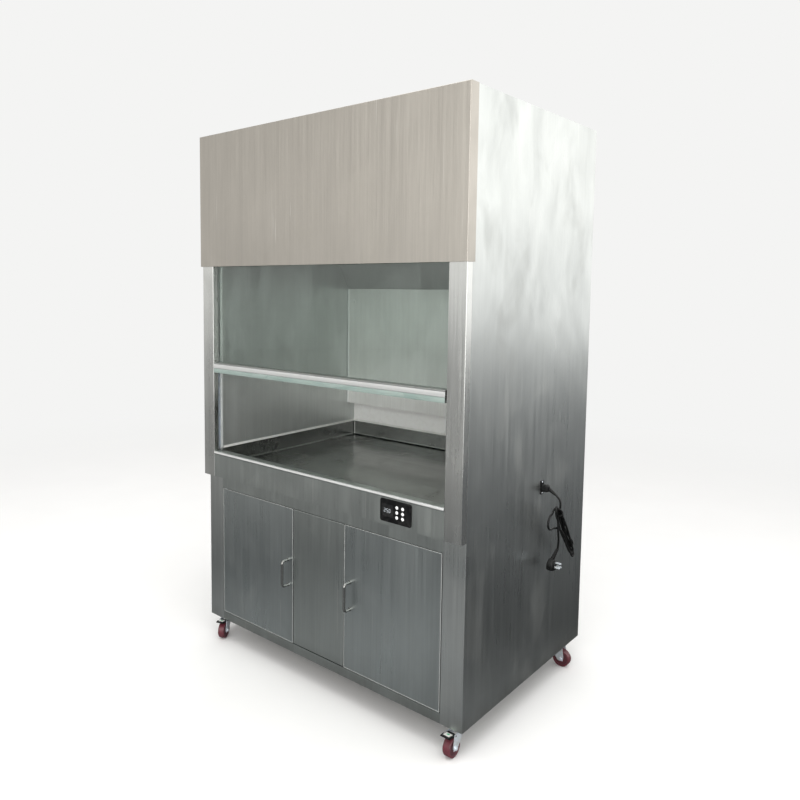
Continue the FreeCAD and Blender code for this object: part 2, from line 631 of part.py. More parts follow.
def caster_plate():
    """Top plate, ball race and king pin, drawn about the swivel axis."""
    plate = box(-30, 30, -30, 30, CASTER_H - 2.5, CASTER_H)
    plate = rounded(plate, 6, lambda m, d: near(abs(d.z), 1))
    for x in (-22, 22):
        for y in (-22, 22):
            plate = plate.cut(rod(3.3, V(x, y, CASTER_H - 5), V(x, y, CASTER_H + 1)))
    race = [(79, 0), (79, 18), (81, 21), (87.5, 19), (87.5, 0)]
    race = spun(race, V(0, 0, 0), V(0, 0, 1), V(1, 0, 0))
    pin = rod(KING_R, V(0, 0, 70), V(0, 0, 81))
    head = rod(8, V(0, 0, 68.2), V(0, 0, 71.4))
    return join(plate, race, pin, head)


def caster_fork(brake):
    """Swivel fork with its axle bolt; the wheel trails towards +x of this drawing."""
    half = WHEEL_W / 2 + FORK_GAP
    wall = 2.5
    crown = join(rod(16, V(0, 0, 72), V(0, 0, 75)), box(-10, 12, -half - wall, half + wall, 72, 75))
    cup = rod(19, V(0, 0, 75), V(0, 0, 78.4)).cut(rod(13, V(0, 0, 74), V(0, 0, 79)))
    outline = [(-10, 75), (-10, 65), (TRAIL - 10, 25), (TRAIL + 10, 25), (TRAIL + 12, 42), (TRAIL + 6, 76),
               (12, 76), (12, 75)]
    cheeks = []
    for side in (-1, 1):
        cheeks.append(prism([V(x, side * half, z) for x, z in outline], V(0, side * wall, 0)))
    fork = join(crown, cup, *cheeks).cut(rod(KING_R + RUN_FIT, V(0, 0, 65), V(0, 0, 79)))
    end = half + wall
    axle = rod(AXLE_R, V(TRAIL, -end - 5, WHEEL_R), V(TRAIL, end + 5, WHEEL_R))
    heads = []
    for side in (-1, 1):
        face = V(TRAIL, side * end, WHEEL_R)
        corners = [face + V(6.8 * math.cos(math.radians(a)), 0, 6.8 * math.sin(math.radians(a)))
                   for a in range(0, 360, 60)]
        heads.append(prism(corners, V(0, side * 4, 0)))
    fork = join(fork, axle, *heads)
    if brake:
        start, stop = V(TRAIL + 1, -end - 1, PEDAL_PIN_Z), V(TRAIL + 1, end + 1, PEDAL_PIN_Z)
        fork = fork.cut(rod(PEDAL_PIN_R + RUN_FIT, start, stop))
    return fork


def caster_wheel():
    """Wheel with a crowned tread and a recessed web on each side."""
    w = WHEEL_W / 2
    web = w - 2.5
    right_half = [(w - 2, WHEEL_R), (w, WHEEL_R - 1.5), (w, 26), (web, 24.5), (web, 9.5), (w, 8),
                  (w, AXLE_R + RUN_FIT)]
    left_half = [(-along, radius) for along, radius in reversed(right_half)]
    profile = left_half + right_half
    return spun(profile, V(TRAIL, 0, WHEEL_R), V(0, 1, 0), V(1, 0, 0))


def brake_pedal():
    """Foot pedal over the wheel, on a cross pin in the fork."""
    half = WHEEL_W / 2 + FORK_GAP
    outline = [(TRAIL - 4, 68), (TRAIL - 4, 74), (TRAIL + 2, 75.5), (TRAIL + 34, 81), (TRAIL + 38, 78),
               (TRAIL + 37, 75), (TRAIL + 6, 68)]
    body = prism([V(x, -half + 0.5, z) for x, z in outline], V(0, 2 * half - 1, 0))
    tread = box(TRAIL + 20, TRAIL + 37, -half - 3, half + 3, 75.2, 78.2)
    pin = rod(PEDAL_PIN_R, V(TRAIL + 1, -half - 3, PEDAL_PIN_Z), V(TRAIL + 1, half + 3, PEDAL_PIN_Z))
    return join(body, tread, pin)


def place_caster(shape, x, y, trails):
    """Turn a caster piece so that it trails in the given direction, and set it under the hood."""
    placed = shape.copy()
    placed.rotate(V(0, 0, 0), V(0, 0, 1), trails)
    placed.translate(V(x, y, 0))
    return placed


# ================================ lead, gland and plug ==========================================

def power_inlet():
    """Appliance inlet: flange on the side panel, two screws, socket body inside."""
    flange = box(HALF, HALF + 2.5, INLET_Y - 12, INLET_Y + 12, INLET_Z - 24, INLET_Z + 24)
    flange = rounded(flange, 5, lambda m, d: near(abs(d.x), 1))
    body = box(HALF - 26, HALF, INLET_Y - 10, INLET_Y + 10, INLET_Z - 14, INLET_Z + 14)
    screws = [rod(2.8, V(HALF + 2.5, INLET_Y, INLET_Z + z), V(HALF + 3.7, INLET_Y, INLET_Z + z))
              for z in (-19, 19)]
    return join(flange, body, *screws)


def cord_connector():
    """Appliance connector pushed on the inlet, with its boot drooping onto the lead."""
    x0, x1 = HALF + 2.6, HALF + 28
    body = box(x0, x1, INLET_Y - 9.5, INLET_Y + 9.5, INLET_Z - 13.5, INLET_Z + 13.5)
    body = rounded(body, 4, lambda m, d: near(abs(d.x), 1))
    rim = [e for e in body.Edges if all(near(v.Point.x, x1) for v in e.Vertexes)]
    body = body.makeFillet(2.0, rim)
    root = V(x1 - 2, INLET_Y, INLET_Z - 1)
    boot = Part.makeCone(7.5, CORD_R + 1.0, (BOOT_END - root).Length, root, BOOT_END - root)
    return join(body, boot)


def hank():
    """Outer shape of the folded lead: a flat bundle below its tie, with one loose loop beside it."""
    run = HANK_END - HANK_TOP
    across = V(0, -run.z, run.y).normalize()
    sections = []
    for share, half_w, half_t in HANK_SECTIONS:
        centre = HANK_TOP + run * share
        ellipse = Part.Ellipse(centre + across * half_w, centre + V(half_t, 0, 0), centre)
        sections.append(Part.Wire(ellipse.toShape()))
    bundle = Part.makeLoft(sections, True, True)
    loop = rod(LOOP_R, LOOP_CENTRE - V(LOOP_T / 2, 0, 0), LOOP_CENTRE + V(LOOP_T / 2, 0, 0))
    return join(bundle, loop)


def power_plug():
    """Moulded side-entry mains plug with three flat pins and a boot on its cord."""
    top = TAIL_ROUTE[-1]
    entry = PLUG_AT + V(2, 0, 18)
    boot = Part.makeCone(CORD_R + 1.0, 7.0, (entry - top).Length, top, entry - top)
    body = box(-15, 14, -18, 18, -20, 20)
    body = body.makeFillet(6, body.Edges)
    pins = [box(13, 33, y - 0.8, y + 0.8, -9, -2.6) for y in (-6.5, 6.5)]
    pins.append(box(13, 35, -0.8, 0.8, 5, 11.4))
    block = join(body, *pins)
    block.translate(PLUG_AT)
    return join(boot, block)


# ================================ fasteners =====================================================

def fasteners():
    """Domed screw heads on the back panel, roof flange and baffle, seated on their sheets."""
    heads = []
    dome = [(0, 0), (0, 4.2), (1.2, 3.8), (2.2, 2.4), (2.6, 0)]
    back_y = DEPTH - BACK_IN
    for x in (-560, -190, 190, 560):
        for z in (110, 740, 1370, 1960):
            heads.append(spun(dome, V(x, back_y, z), V(0, 1, 0), V(1, 0, 0)))
    for step in range(8):
        a = math.radians(22.5 + 45 * step)
        spot = V((DUCT_R + 13) * math.cos(a), DUCT_Y + (DUCT_R + 13) * math.sin(a), HEIGHT + SHEET)
        heads.append(spun(dome, spot, V(0, 0, 1), V(1, 0, 0)))
    for side in (-1, 1):
        for y in (60, 300, 540, 780):
            heads.append(spun(dome, V(side * 570, y, HEIGHT), V(0, 0, 1), V(1, 0, 0)))
    return heads


# ================================ write the sub-parts ===========================================

def main():
    os.makedirs("parts", exist_ok=True)
    save("side_panel_right", side_panel(True))
    save("side_panel_left", mirrored(side_panel(False)))
    save("back_panel", back_panel())
    save("roof_panel", roof_panel())
    save("duct_collar", duct_collar())
    save("cabinet_base", cabinet_floor(), *base_rails())
    save("face_rails", *face_rails())
    save("centre_panel", centre_panel())
    save("door_pivots", *door_pivots())
    save("door_catches", *door_catches())
    right_door = door()
    right_handle = door_handle()
    save("door_right", right_door)
    save("door_left", mirrored(right_door))
    save("handle_right", right_handle)
    save("handle_left", mirrored(right_handle))

    right_jamb = jamb()
    save("jamb_right", right_jamb)
    save("jamb_left", mirrored(right_jamb))
    save("fascia", fascia())
    save("front_apron", front_apron())
    save("control_bezel", control_bezel())
    save("display_window", display_window())
    for row, z in enumerate(KEY_ROWS, 1):
        for col, x in enumerate(KEY_COLS, 1):
            save(f"button_{row}_{col}", key(x, z))

    save("sash_glass", sash_glass())
    save("sash_frame", sash_frame())
    save("sash_handle", sash_handle())
    save("guide_tracks", *guide_tracks())
    weight = counterweight()
    save("counterweights", weight, mirrored(weight))
    save("sync_shaft", sync_shaft())
    save("sash_cables", *sash_cables())

    save("worktop", worktop())
    right_liner = liner_side()
    save("liner_right", right_liner)
    save("liner_left", mirrored(right_liner))
    save("liner_back", liner_back())
    save("liner_ceiling", liner_ceiling())
    save("lamp_housing", lamp_housing())
    save("lamp_diffuser", lamp_diffuser())
    save("baffle_rear", baffle_rear())
    save("baffle_upper", baffle_upper())

    plates = []
    for name, (x, y, trails, brake) in CASTERS.items():
        plates.append(place_caster(caster_plate(), x, y, 0))
        save("fork_" + name, place_caster(caster_fork(brake), x, y, trails), rise=0)
        save("wheel_" + name, place_caster(caster_wheel(), x, y, trails), rise=0)
        if brake:
            save("pedal_" + name, place_caster(brake_pedal(), x, y, trails), rise=0)
    save("caster_plates", *plates, rise=0)

    save("power_inlet", power_inlet())
    save("cord_connector", cord_connector())
    save("power_cord", tube(LEAD_ROUTE, CORD_R, "lead"))
    save("cord_hank", hank())
    save("cord_tail", tube(TAIL_ROUTE, CORD_R, "tail"))
    save("power_plug", power_plug())
    save("fasteners", *fasteners())


main()
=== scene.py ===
"""Ducted bench fume hood: materials, small parts, mains lead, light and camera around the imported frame.

Metres throughout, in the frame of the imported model: +X right, +Y back, +Z up, floor at z = 0.
"""

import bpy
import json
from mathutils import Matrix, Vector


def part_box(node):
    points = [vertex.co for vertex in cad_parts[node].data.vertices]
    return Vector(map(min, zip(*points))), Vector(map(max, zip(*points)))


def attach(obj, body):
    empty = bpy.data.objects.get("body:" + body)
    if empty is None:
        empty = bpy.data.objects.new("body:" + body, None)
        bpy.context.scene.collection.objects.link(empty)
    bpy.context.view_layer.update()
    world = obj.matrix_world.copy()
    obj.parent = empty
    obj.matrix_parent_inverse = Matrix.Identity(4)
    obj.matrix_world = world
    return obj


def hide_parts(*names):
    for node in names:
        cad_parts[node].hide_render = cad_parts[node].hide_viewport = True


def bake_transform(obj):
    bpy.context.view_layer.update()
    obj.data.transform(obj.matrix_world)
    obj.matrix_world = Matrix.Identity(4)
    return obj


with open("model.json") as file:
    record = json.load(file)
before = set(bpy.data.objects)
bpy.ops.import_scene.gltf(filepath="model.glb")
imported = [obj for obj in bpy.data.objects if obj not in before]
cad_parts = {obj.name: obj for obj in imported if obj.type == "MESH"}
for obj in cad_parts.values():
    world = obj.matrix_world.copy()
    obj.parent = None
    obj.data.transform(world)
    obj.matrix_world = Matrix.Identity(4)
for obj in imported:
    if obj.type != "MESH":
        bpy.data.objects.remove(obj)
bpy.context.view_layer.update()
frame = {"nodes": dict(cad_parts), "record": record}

import json
import math

import bmesh
import bpy
from mathutils import Matrix, Vector

scene = bpy.context.scene
scene.view_settings.view_transform = "Standard"
X, Y, Z = Vector((1, 0, 0)), Vector((0, 1, 0)), Vector((0, 0, 1))
MM = 0.001


# ================================ camera, floor, light ==========================================

CAMERA_AT = Vector((1.6833, -2.2231, 1.4459))
CAMERA_YAW, CAMERA_PITCH, CAMERA_ROLL = (math.radians(a) for a in (42.288, 5.005, 0.326))
CAMERA_LENS = 32.37
CAMERA_SHIFT = (0.0931, -0.0648)


def make_camera():
    """Camera that looks left and a little down at the hood's front right corner."""
    level = math.cos(CAMERA_PITCH)
    forward = Vector((-math.sin(CAMERA_YAW) * level, math.cos(CAMERA_YAW) * level, -math.sin(CAMERA_PITCH)))
    right = Vector((math.cos(CAMERA_YAW), math.sin(CAMERA_YAW), 0))
    up = right.cross(forward)
    across = right * math.cos(CAMERA_ROLL) + up * math.sin(CAMERA_ROLL)
    above = up * math.cos(CAMERA_ROLL) - right * math.sin(CAMERA_ROLL)
    camera = bpy.data.objects.new("camera", bpy.data.cameras.new("camera"))
    turned = Matrix((across, above, -forward)).transposed().to_4x4()
    camera.matrix_world = Matrix.Translation(CAMERA_AT) @ turned
    camera.data.lens = CAMERA_LENS
    camera.data.shift_x, camera.data.shift_y = CAMERA_SHIFT
    scene.collection.objects.link(camera)
    scene.camera = camera


def area_light(name, at, towards, size, power, colour=(1, 1, 1)):
    light = bpy.data.lights.new(name, "AREA")
    light.shape = "RECTANGLE"
    light.size, light.size_y = size
    light.energy = power
    light.color = colour
    lamp = bpy.data.objects.new(name, light)
    lamp.location = at
    lamp.rotation_mode = "QUATERNION"
    lamp.rotation_quaternion = (Vector(towards) - Vector(at)).to_track_quat("-Z", "Y")
    scene.collection.objects.link(lamp)


# ================================ node trees ====================================================

def srgb(code):
    """Linear colour from a hex code."""
    values = [int(code[i:i + 2], 16) / 255 for i in (1, 3, 5)]
    return tuple(v / 12.92 if v <= 0.04045 else ((v + 0.055) / 1.055) ** 2.4 for v in values) + (1.0,)


class Nodes:
    """A node tree, emptied, with one short call for each kind of node."""

    def __init__(self, tree, coordinates):
        tree.nodes.clear()
        self.tree = tree
        self.point = tree.nodes.new("ShaderNodeTexCoord").outputs[coordinates]
        self.axes = self.node("ShaderNodeSeparateXYZ", Vector=self.point).outputs

    def feed(self, socket, value):
        if isinstance(value, bpy.types.NodeSocket):
            self.tree.links.new(value, socket)
        else:
            socket.default_value = value

    def node(self, kind, settings=None, **inputs):
        made = self.tree.nodes.new(kind)
        for key, value in (settings or {}).items():
            setattr(made, key, value)
        for key, value in inputs.items():
            self.feed(made.inputs[key.replace("_", " ")], value)
        return made

    def noise(self, scale, detail=3.0, distortion=0.0, stretch=(1, 1, 1), offset=(0, 0, 0)):
        place = self.node("ShaderNodeMapping", Vector=self.point, Scale=stretch, Location=offset).outputs[0]
        return self.node("ShaderNodeTexNoise", Vector=place, Scale=scale, Detail=detail,
                         Distortion=distortion).outputs[0]

    def spread(self, value, low, high, to_low=0.0, to_high=1.0, smooth=False):
        """A value from low..high taken to to_low..to_high and held there outside."""
        kind = {"interpolation_type": "SMOOTHSTEP"} if smooth else None
        return self.node("ShaderNodeMapRange", kind, Value=value, From_Min=low, From_Max=high,
                         To_Min=to_low, To_Max=to_high).outputs[0]

    def calc(self, operation, a, b):
        made = self.node("ShaderNodeMath", {"operation": operation})
        self.feed(made.inputs[0], a)
        self.feed(made.inputs[1], b)
        return made.outputs[0]

    def add(self, a, b):
        return self.calc("ADD", a, b)

    def times(self, a, b):
        return self.calc("MULTIPLY", a, b)

    def vector(self, operation, a, b=(0, 0, 0)):
        """A vector calculation's node."""
        made = self.node("ShaderNodeVectorMath", {"operation": operation})
        self.feed(made.inputs[0], a)
        self.feed(made.inputs[1], b)
        return made.outputs

    def grey(self, value):
        return self.node("ShaderNodeCombineColor", Red=value, Green=value, Blue=value).outputs[0]

    def mix(self, factor, a, b, blend="MIX"):
        made = self.node("ShaderNodeMix", {"data_type": "RGBA", "blend_type": blend})
        for index, value in ((0, factor), (6, a), (7, b)):
            self.feed(made.inputs[index], value)
        return made.outputs[2]

    def blend(self, factor, first, second):
        """Mix of two closures."""
        made = self.node("ShaderNodeMixShader", Fac=factor)
        self.feed(made.inputs[1], first)
        self.feed(made.inputs[2], second)
        return made.outputs[0]

    def ramp(self, value, stops):
        """Colour along a value: stops are (value, colour), lowest first."""
        low, high = stops[0][0], stops[-1][0]
        made = self.node("ShaderNodeValToRGB", Fac=self.spread(value, low, high))
        elements = made.color_ramp.elements
        for number, (at, colour) in enumerate(stops):
            share = (at - low) / (high - low)
            element = elements[number] if number < 2 else elements.new(share)
            if number == 1:
                element.position = share
            element.color = colour
        return made.outputs[0]

    def bump(self, height, strength, distance, under=None):
        made = self.node("ShaderNodeBump", Height=height, Strength=strength, Distance=distance)
        if under is not None:
            self.feed(made.inputs["Normal"], under)
        return made.outputs[0]


class Shader(Nodes):
    """A material's node tree."""

    def __init__(self, name):
        self.material = bpy.data.materials.new(name)
        self.material.use_nodes = True
        super().__init__(self.material.node_tree, "Object")
        self.output = self.tree.nodes.new("ShaderNodeOutputMaterial")

    def finish(self, **inputs):
        """Close the tree with a principled surface."""
        surface = self.node("ShaderNodeBsdfPrincipled", **inputs)
        self.tree.links.new(surface.outputs[0], self.output.inputs["Surface"])
        return self.material


# ================================ materials =====================================================

UPRIGHT = ((1, 1, 0.012), (1, 1, 0))      # grain stretch and highlight direction of vertical brushing
SIDEWAYS = ((0.012, 1, 1), (0, 1, 1))     # the same for brushing from left to right
GRIME_Z = (0.09, 0.165)                   # heights where grime is full and where it ends


def steel(name, tone, roughness, grain=UPRIGHT, mottle=0.08, streaks=0.05, seed=0.0, grime=0.0, metal=1.0):
    """Brushed stainless sheet: grain, rolling streaks, hand smudges, fine scratches and slight waviness.

    grime darkens and dulls the cabinet's lowest few centimetres.
    """
    s = Shader(name)
    stretch, direction = grain
    shifted = (seed, seed * 0.7, seed * 1.3)
    cloud = s.noise(2.1, 4, 0.6, (1, 1, 0.7), shifted)
    patch = s.noise(7.5, 4, 1.2, (1, 1, 0.5), shifted)
    brush = s.noise(380, 2, 0, stretch, shifted)
    band = s.noise(75, 3, 0, stretch, shifted)
    wide = s.noise(17, 2, 0, stretch, shifted)
    smudge = s.spread(s.noise(6, 5, 0.7, (1, 1, 0.7), shifted), 0.54, 0.74)
    scratch = s.spread(s.noise(150, 1, 0.4, (1, 1, 0.02), shifted), 0.735, 0.79)
    dull = s.spread(s.add(s.times(cloud, 0.6), s.times(patch, 0.4)), 0.36, 0.62)
    lines = s.add(s.times(brush, 0.5),
                  s.add(s.times(band, 0.35), s.times(wide, 0.15)))
    shade = s.add(s.spread(dull, 0, 1, 1 - mottle, 1 + mottle * 0.6),
                  s.spread(lines, 0.38, 0.62, -streaks, streaks))
    colour = s.mix(1.0, srgb(tone), s.grey(shade), "MULTIPLY")
    colour = s.mix(s.times(scratch, 0.3), colour, srgb("#F2F2EE"))
    colour = s.mix(s.times(smudge, 0.10), colour, srgb("#8E8A80"))
    low = s.times(s.spread(s.axes[2], *GRIME_Z, grime, 0.0, True), s.spread(patch, 0.35, 0.6, 0.4, 1.0))
    colour = s.mix(low, colour, srgb("#5A5650"))
    rough = s.add(s.spread(dull, 0, 1, roughness + 0.05, roughness - 0.05),
                  s.add(s.times(smudge, 0.12), s.spread(lines, 0.4, 0.6, -0.04, 0.04)))
    rough = s.add(rough, s.times(low, 0.3))
    wavy = s.bump(s.noise(1.9, 2, 0.4, (1, 1, 0.8), shifted), 0.4, 0.02)
    normal = s.bump(s.add(brush, band), 0.12, 0.0004, wavy)
    tangent = s.node("ShaderNodeCombineXYZ", X=direction[0], Y=direction[1], Z=direction[2]).outputs[0]
    return s.finish(Base_Color=colour, Metallic=metal, Roughness=rough, Anisotropic=0.5, Tangent=tangent,
                    Normal=normal)


def plated(name, tone, roughness, metal):
    """Zinc plating: fine crystals, a faint yellow bloom and dull patches."""
    s = Shader(name)
    crystal = s.node("ShaderNodeTexVoronoi", {"feature": "F1"}, Vector=s.point, Scale=260.0).outputs["Color"]
    bloom = s.spread(s.noise(34, 5, 1.0), 0.45, 0.65)
    colour = s.mix(0.14, srgb(tone), crystal, "SOFT_LIGHT")
    colour = s.mix(s.times(bloom, 0.3), colour, srgb("#A7A08C"))
    rough = s.add(s.spread(s.noise(90, 4), 0.35, 0.65, roughness - 0.08, roughness + 0.1),
                  s.times(bloom, 0.12))
    return s.finish(Base_Color=colour, Metallic=metal, Roughness=rough,
                    Normal=s.bump(s.noise(700, 3), 0.12, 0.0003))


def plastic(name, tone, roughness, texture=900, depth=0.00008, dust=0.06, clear=0.0, shine=0.5):
    """Moulded plastic: spark-eroded texture, finger smears and a little dust."""
    s = Shader(name)
    smear = s.spread(s.noise(28, 4, 1.4), 0.42, 0.68)
    colour = s.mix(s.times(smear, dust), srgb(tone), srgb("#9C9A94"))
    rough = s.spread(s.add(smear, s.times(s.noise(160, 3), 0.5)), 0, 1.2,
                     roughness - 0.06, roughness + 0.14)
    return s.finish(Base_Color=colour, Roughness=rough, Coat_Weight=clear, Coat_Roughness=0.08,
                    Specular_IOR_Level=shine, Normal=s.bump(s.noise(texture, 2), 0.35, depth))


def glass(name, tint):
    """Flat glass sheet: tinted, with wipe marks and a thin film, clear enough to see the chamber through."""
    s = Shader(name)
    wipe = s.spread(s.noise(3.2, 6, 2.2, (1, 1, 0.5)), 0.46, 0.72)
    streak = s.spread(s.noise(26, 3, 0.2, (1, 1, 0.05)), 0.5, 0.8)
    film = s.add(s.times(wipe, 0.035), s.times(streak, 0.02))
    facing = s.node("ShaderNodeLayerWeight", Blend=0.5).outputs["Facing"]
    edge = s.add(0.04, s.times(s.calc("POWER", facing, 5.0), 0.96))      # Schlick's formula
    clear = s.node("ShaderNodeBsdfTransparent", Color=srgb(tint)).outputs[0]
    shine = s.node("ShaderNodeBsdfGlossy", Color=(1, 1, 1, 1),
                   Roughness=s.spread(wipe, 0, 1, 0.01, 0.07)).outputs[0]
    haze = s.node("ShaderNodeBsdfDiffuse", Color=srgb("#DDE6E2")).outputs[0]
    sheet = s.blend(edge, clear, shine)
    s.feed(s.output.inputs["Surface"], s.blend(film, sheet, haze))
    return s.material


CAP_EDGE, HUB_EDGE = (0.0086, 0.0094), (0.0250, 0.0258)      # radii where one tone gives way to the next


def wheel_rubber(name, node, trails):
    """Caster wheel: red tread, dull red hub and grey axle cap, told apart by the distance from the axle."""
    low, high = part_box(node)
    heading = math.radians(trails)
    axle = (-math.sin(heading), math.cos(heading), 0)
    s = Shader(name)
    off_centre = s.vector("SUBTRACT", s.point, (low + high) / 2)[0]
    radius = s.vector("LENGTH", s.vector("CROSS_PRODUCT", off_centre, axle)[0])["Value"]
    dirt = s.spread(s.noise(70, 5, 1.5), 0.42, 0.66)
    red = s.mix(s.times(dirt, 0.45), srgb("#622A34"), srgb("#403331"))
    hub = s.mix(s.times(dirt, 0.4), srgb("#532930"), srgb("#403E3C"))
    middle = s.mix(s.spread(radius, *CAP_EDGE), srgb("#8F9498"), hub)
    colour = s.mix(s.spread(radius, *HUB_EDGE), middle, red)
    return s.finish(Base_Color=colour, Roughness=s.spread(dirt, 0, 1, 0.32, 0.6), Coat_Weight=0.2,
                    Normal=s.bump(s.noise(420, 4, 0.5), 0.4, 0.0002))


def lead_skin(name):
    """Black PVC of the mains lead and its boots: satin, faintly crazed, a little dusty."""
    s = Shader(name)
    dust = s.spread(s.noise(60, 5, 0.8), 0.45, 0.75)
    colour = s.mix(s.times(dust, 0.12), srgb("#090A0A"), srgb("#3E403E"))
    return s.finish(Base_Color=colour, Roughness=s.spread(dust, 0, 1, 0.38, 0.6), Specular_IOR_Level=0.3,
                    Normal=s.bump(s.noise(1500, 2), 0.25, 0.00006))


def soft_strip(name):
    """Mint-tinted edge strip on the sash rail, with a waxy bloom."""
    s = Shader(name)
    bloom = s.spread(s.noise(30, 4, 0.8, (0.2, 1, 1)), 0.4, 0.7)
    colour = s.mix(s.times(bloom, 0.5), srgb("#7D8E89"), srgb("#9FABA6"))
    return s.finish(Base_Color=colour, Roughness=s.spread(bloom, 0, 1, 0.22, 0.42), Coat_Weight=0.4,
                    Normal=s.bump(s.noise(240, 3, 0, (0.05, 1, 1)), 0.15, 0.0001))


def cast_paint(name):
    """Dark paint on a cast surface, chipped here and there."""
    s = Shader(name)
    chip = s.spread(s.noise(55, 6, 1.0), 0.63, 0.68)
    return s.finish(Base_Color=s.mix(chip, srgb("#35383A"), srgb("#6B5A4E")),
                    Roughness=s.spread(chip, 0, 1, 0.5, 0.8), Normal=s.bump(s.noise(180, 5), 0.5, 0.0006))


def wire_rope(name):
    """Twisted strands, as slanting ridges round the cable."""
    s = Shader(name)
    wave = s.node("ShaderNodeTexWave", {"bands_direction": "DIAGONAL"}, Vector=s.point, Scale=900.0)
    ridge = wave.outputs["Fac"]
    # painted shade: the base colour goes dark in the grooves between the strands and light on their crests
    return s.finish(Base_Color=s.mix(ridge, srgb("#4C4C4A"), srgb("#A9A9A4")), Metallic=1.0, Roughness=0.38,
                    Normal=s.bump(ridge, 0.6, 0.0003))


def lit(name, tone, glow):
    """A dim light behind smoked plastic."""
    s = Shader(name)
    flicker = s.spread(s.noise(800, 2), 0.3, 0.7, glow * 0.85, glow)
    return s.finish(Base_Color=srgb(tone), Roughness=0.5, Emission_Color=srgb(tone),
                    Emission_Strength=flicker)


FINISH = {
    "side": steel("steel_side", "#CCD0CE", 0.34, seed=1.3, grime=0.35),
    "jamb": steel("steel_jamb", "#D8DAD7", 0.26, seed=4.1, mottle=0.06),
    "fascia": steel("steel_fascia", "#B8B4AC", 0.40, seed=7.7, mottle=0.05, streaks=0.06),
    "front": steel("steel_front", "#BCC2BF", 0.34, seed=2.9, grime=0.4),
    "door": steel("steel_door", "#C0C7C6", 0.33, seed=5.2, mottle=0.10),
    "rear": steel("steel_rear", "#C4C6C3", 0.40, seed=9.4, grime=0.2),
    "inner": steel("steel_inner", "#C9CDCB", 0.44, seed=3.6, metal=0.8),
    "baffle": steel("steel_baffle", "#EDEEEB", 0.46, seed=6.5, metal=0.6),
    "tray": steel("steel_tray", "#8C8E8C", 0.20, SIDEWAYS, 0.04, 0.02, seed=8.8),
    "polished": steel("steel_polished", "#C9C9C6", 0.15, seed=0.4, mottle=0.04, streaks=0.02),
    # painted highlight: lighter, half-diffuse steel for the strips round the doors' edges
    "edge": steel("steel_painted_edge_highlight", "#C3C6C4", 0.42, seed=0.9, mottle=0.04, streaks=0.02, metal=0.5),
    # painted shade: the door handles' tone is darkened to stand in for the dark reflection along their bars
    "bow": steel("steel_bow_painted_dark", "#9B9C9A", 0.13, seed=1.7, mottle=0.04, streaks=0.02),
    "handle": steel("steel_handle", "#BFC2C0", 0.34, SIDEWAYS, 0.05, 0.03, seed=2.2),
    "rail": steel("steel_rail", "#EFF1F0", 0.40, SIDEWAYS, 0.05, 0.03, seed=2.7, metal=0.8),
    "zinc": plated("zinc", "#DCE3EA", 0.36, 0.55),
    "black": plastic("black_plastic", "#0A0B0C", 0.36, dust=0.03, shine=0.2),
    "window": plastic("smoked_window", "#08090B", 0.16, 1400, 0.00001, 0.03, 0.8),
    "key": plastic("white_key", "#EDEFEF", 0.3, 600, 0.00002, 0.05, 0.3),
    "opal": plastic("lamp_opal", "#E4E6E2", 0.35, 300, 0.00005, 0.1),
    "bead": plastic("seal_bead", "#E6E7E3", 0.38, 220, 0.0002, 0.12),
    # painted light: near-white tone given to the rear liner so that it reads as the brightly lit band below
    # the baffle
    "board": plastic("painted_lit_board", "#FCFCFA", 0.45, 300, 0.00005, 0.10),
    "green": plastic("pedal_green", "#3FA877", 0.4, 500, 0.00004),
    "pale": plastic("pedal_pale", "#D5D6D2", 0.45, 500, 0.00004),
    "weight": cast_paint("cast_paint"),
    "rope": wire_rope("wire_rope"),
    "lead": lead_skin("lead_black"),
    "mint": soft_strip("mint_strip"),
    "glass": glass("sash_clear", "#EFF3F1"),
    "digits": lit("digit_glow", "#BFC6CC", 0.10),
}
BY_SLOT = {
    "stainless_brushed": "front", "stainless_inner": "inner", "stainless_polished": "polished",
    "tempered_glass": "glass", "black_plastic": "black", "display_black": "window", "white_key": "key",
    "lamp_opal": "opal", "zinc_plated": "zinc", "cast_weight": "weight", "cord_black": "lead",
}
BY_NODE = {
    "side_panel_right": "side", "side_panel_left": "side", "jamb_right": "jamb", "jamb_left": "jamb",
    "fascia": "fascia", "door_right": "door", "door_left": "door", "back_panel": "rear",
    "roof_panel": "rear", "duct_collar": "rear", "cabinet_base": "rear", "worktop": "tray",
    # liner_back takes the near-white board tone, which is painted light
    "baffle_rear": "baffle", "sash_cables": "rope", "liner_back": "board",
    "sash_handle": "handle", "handle_right": "bow", "handle_left": "bow",
}
CASTERS = {                               # name: swivel x and y, and the heading that the wheel trails in
    "front_right": (0.560, -0.371, -90.0), "front_left": (-0.552, -0.365, -64.0),
    "rear_right": (0.550, 0.345, 0.0), "rear_left": (-0.552, 0.345, -150.0),
}


def dress_nodes():
    """Give every CAD node its material: its own, or that of its slot."""
    slots = {part["node"]: part["material_slot"] for part in frame["record"]["subparts"]}
    for name, node in frame["nodes"].items():
        if name.startswith("wheel_"):
            material = wheel_rubber("rubber_" + name, name, CASTERS[name[len("wheel_"):]][2])
        else:
            material = FINISH[BY_NODE.get(name) or BY_SLOT[slots[name]]]
        node.data.materials.clear()
        node.data.materials.append(material)


# ================================ floor, surroundings, lights ===================================

def grey(value, warmth=0.0):
    return (value * (1 + warmth), value, value * (1 - warmth), 1.0)


PALE = srgb("#F4F4F3")
FLOOR_RADIUS = 14.0
FLOOR_FADE = (1.6, 5.5)                   # distances from the middle where the floor starts and ends fading

# The floor's tone in reflections, by metres from the middle towards the front left.
FLOOR_SEEN = [(-9.0, grey(0.36, -0.03)), (-4.0, grey(0.15, -0.04)), (-1.0, grey(0.045, -0.04)),
              (0.6, grey(0.26, -0.02)), (1.5, grey(0.09, -0.04)), (2.6, grey(0.19)), (4.5, grey(0.27)),
              (9.0, grey(0.42))]

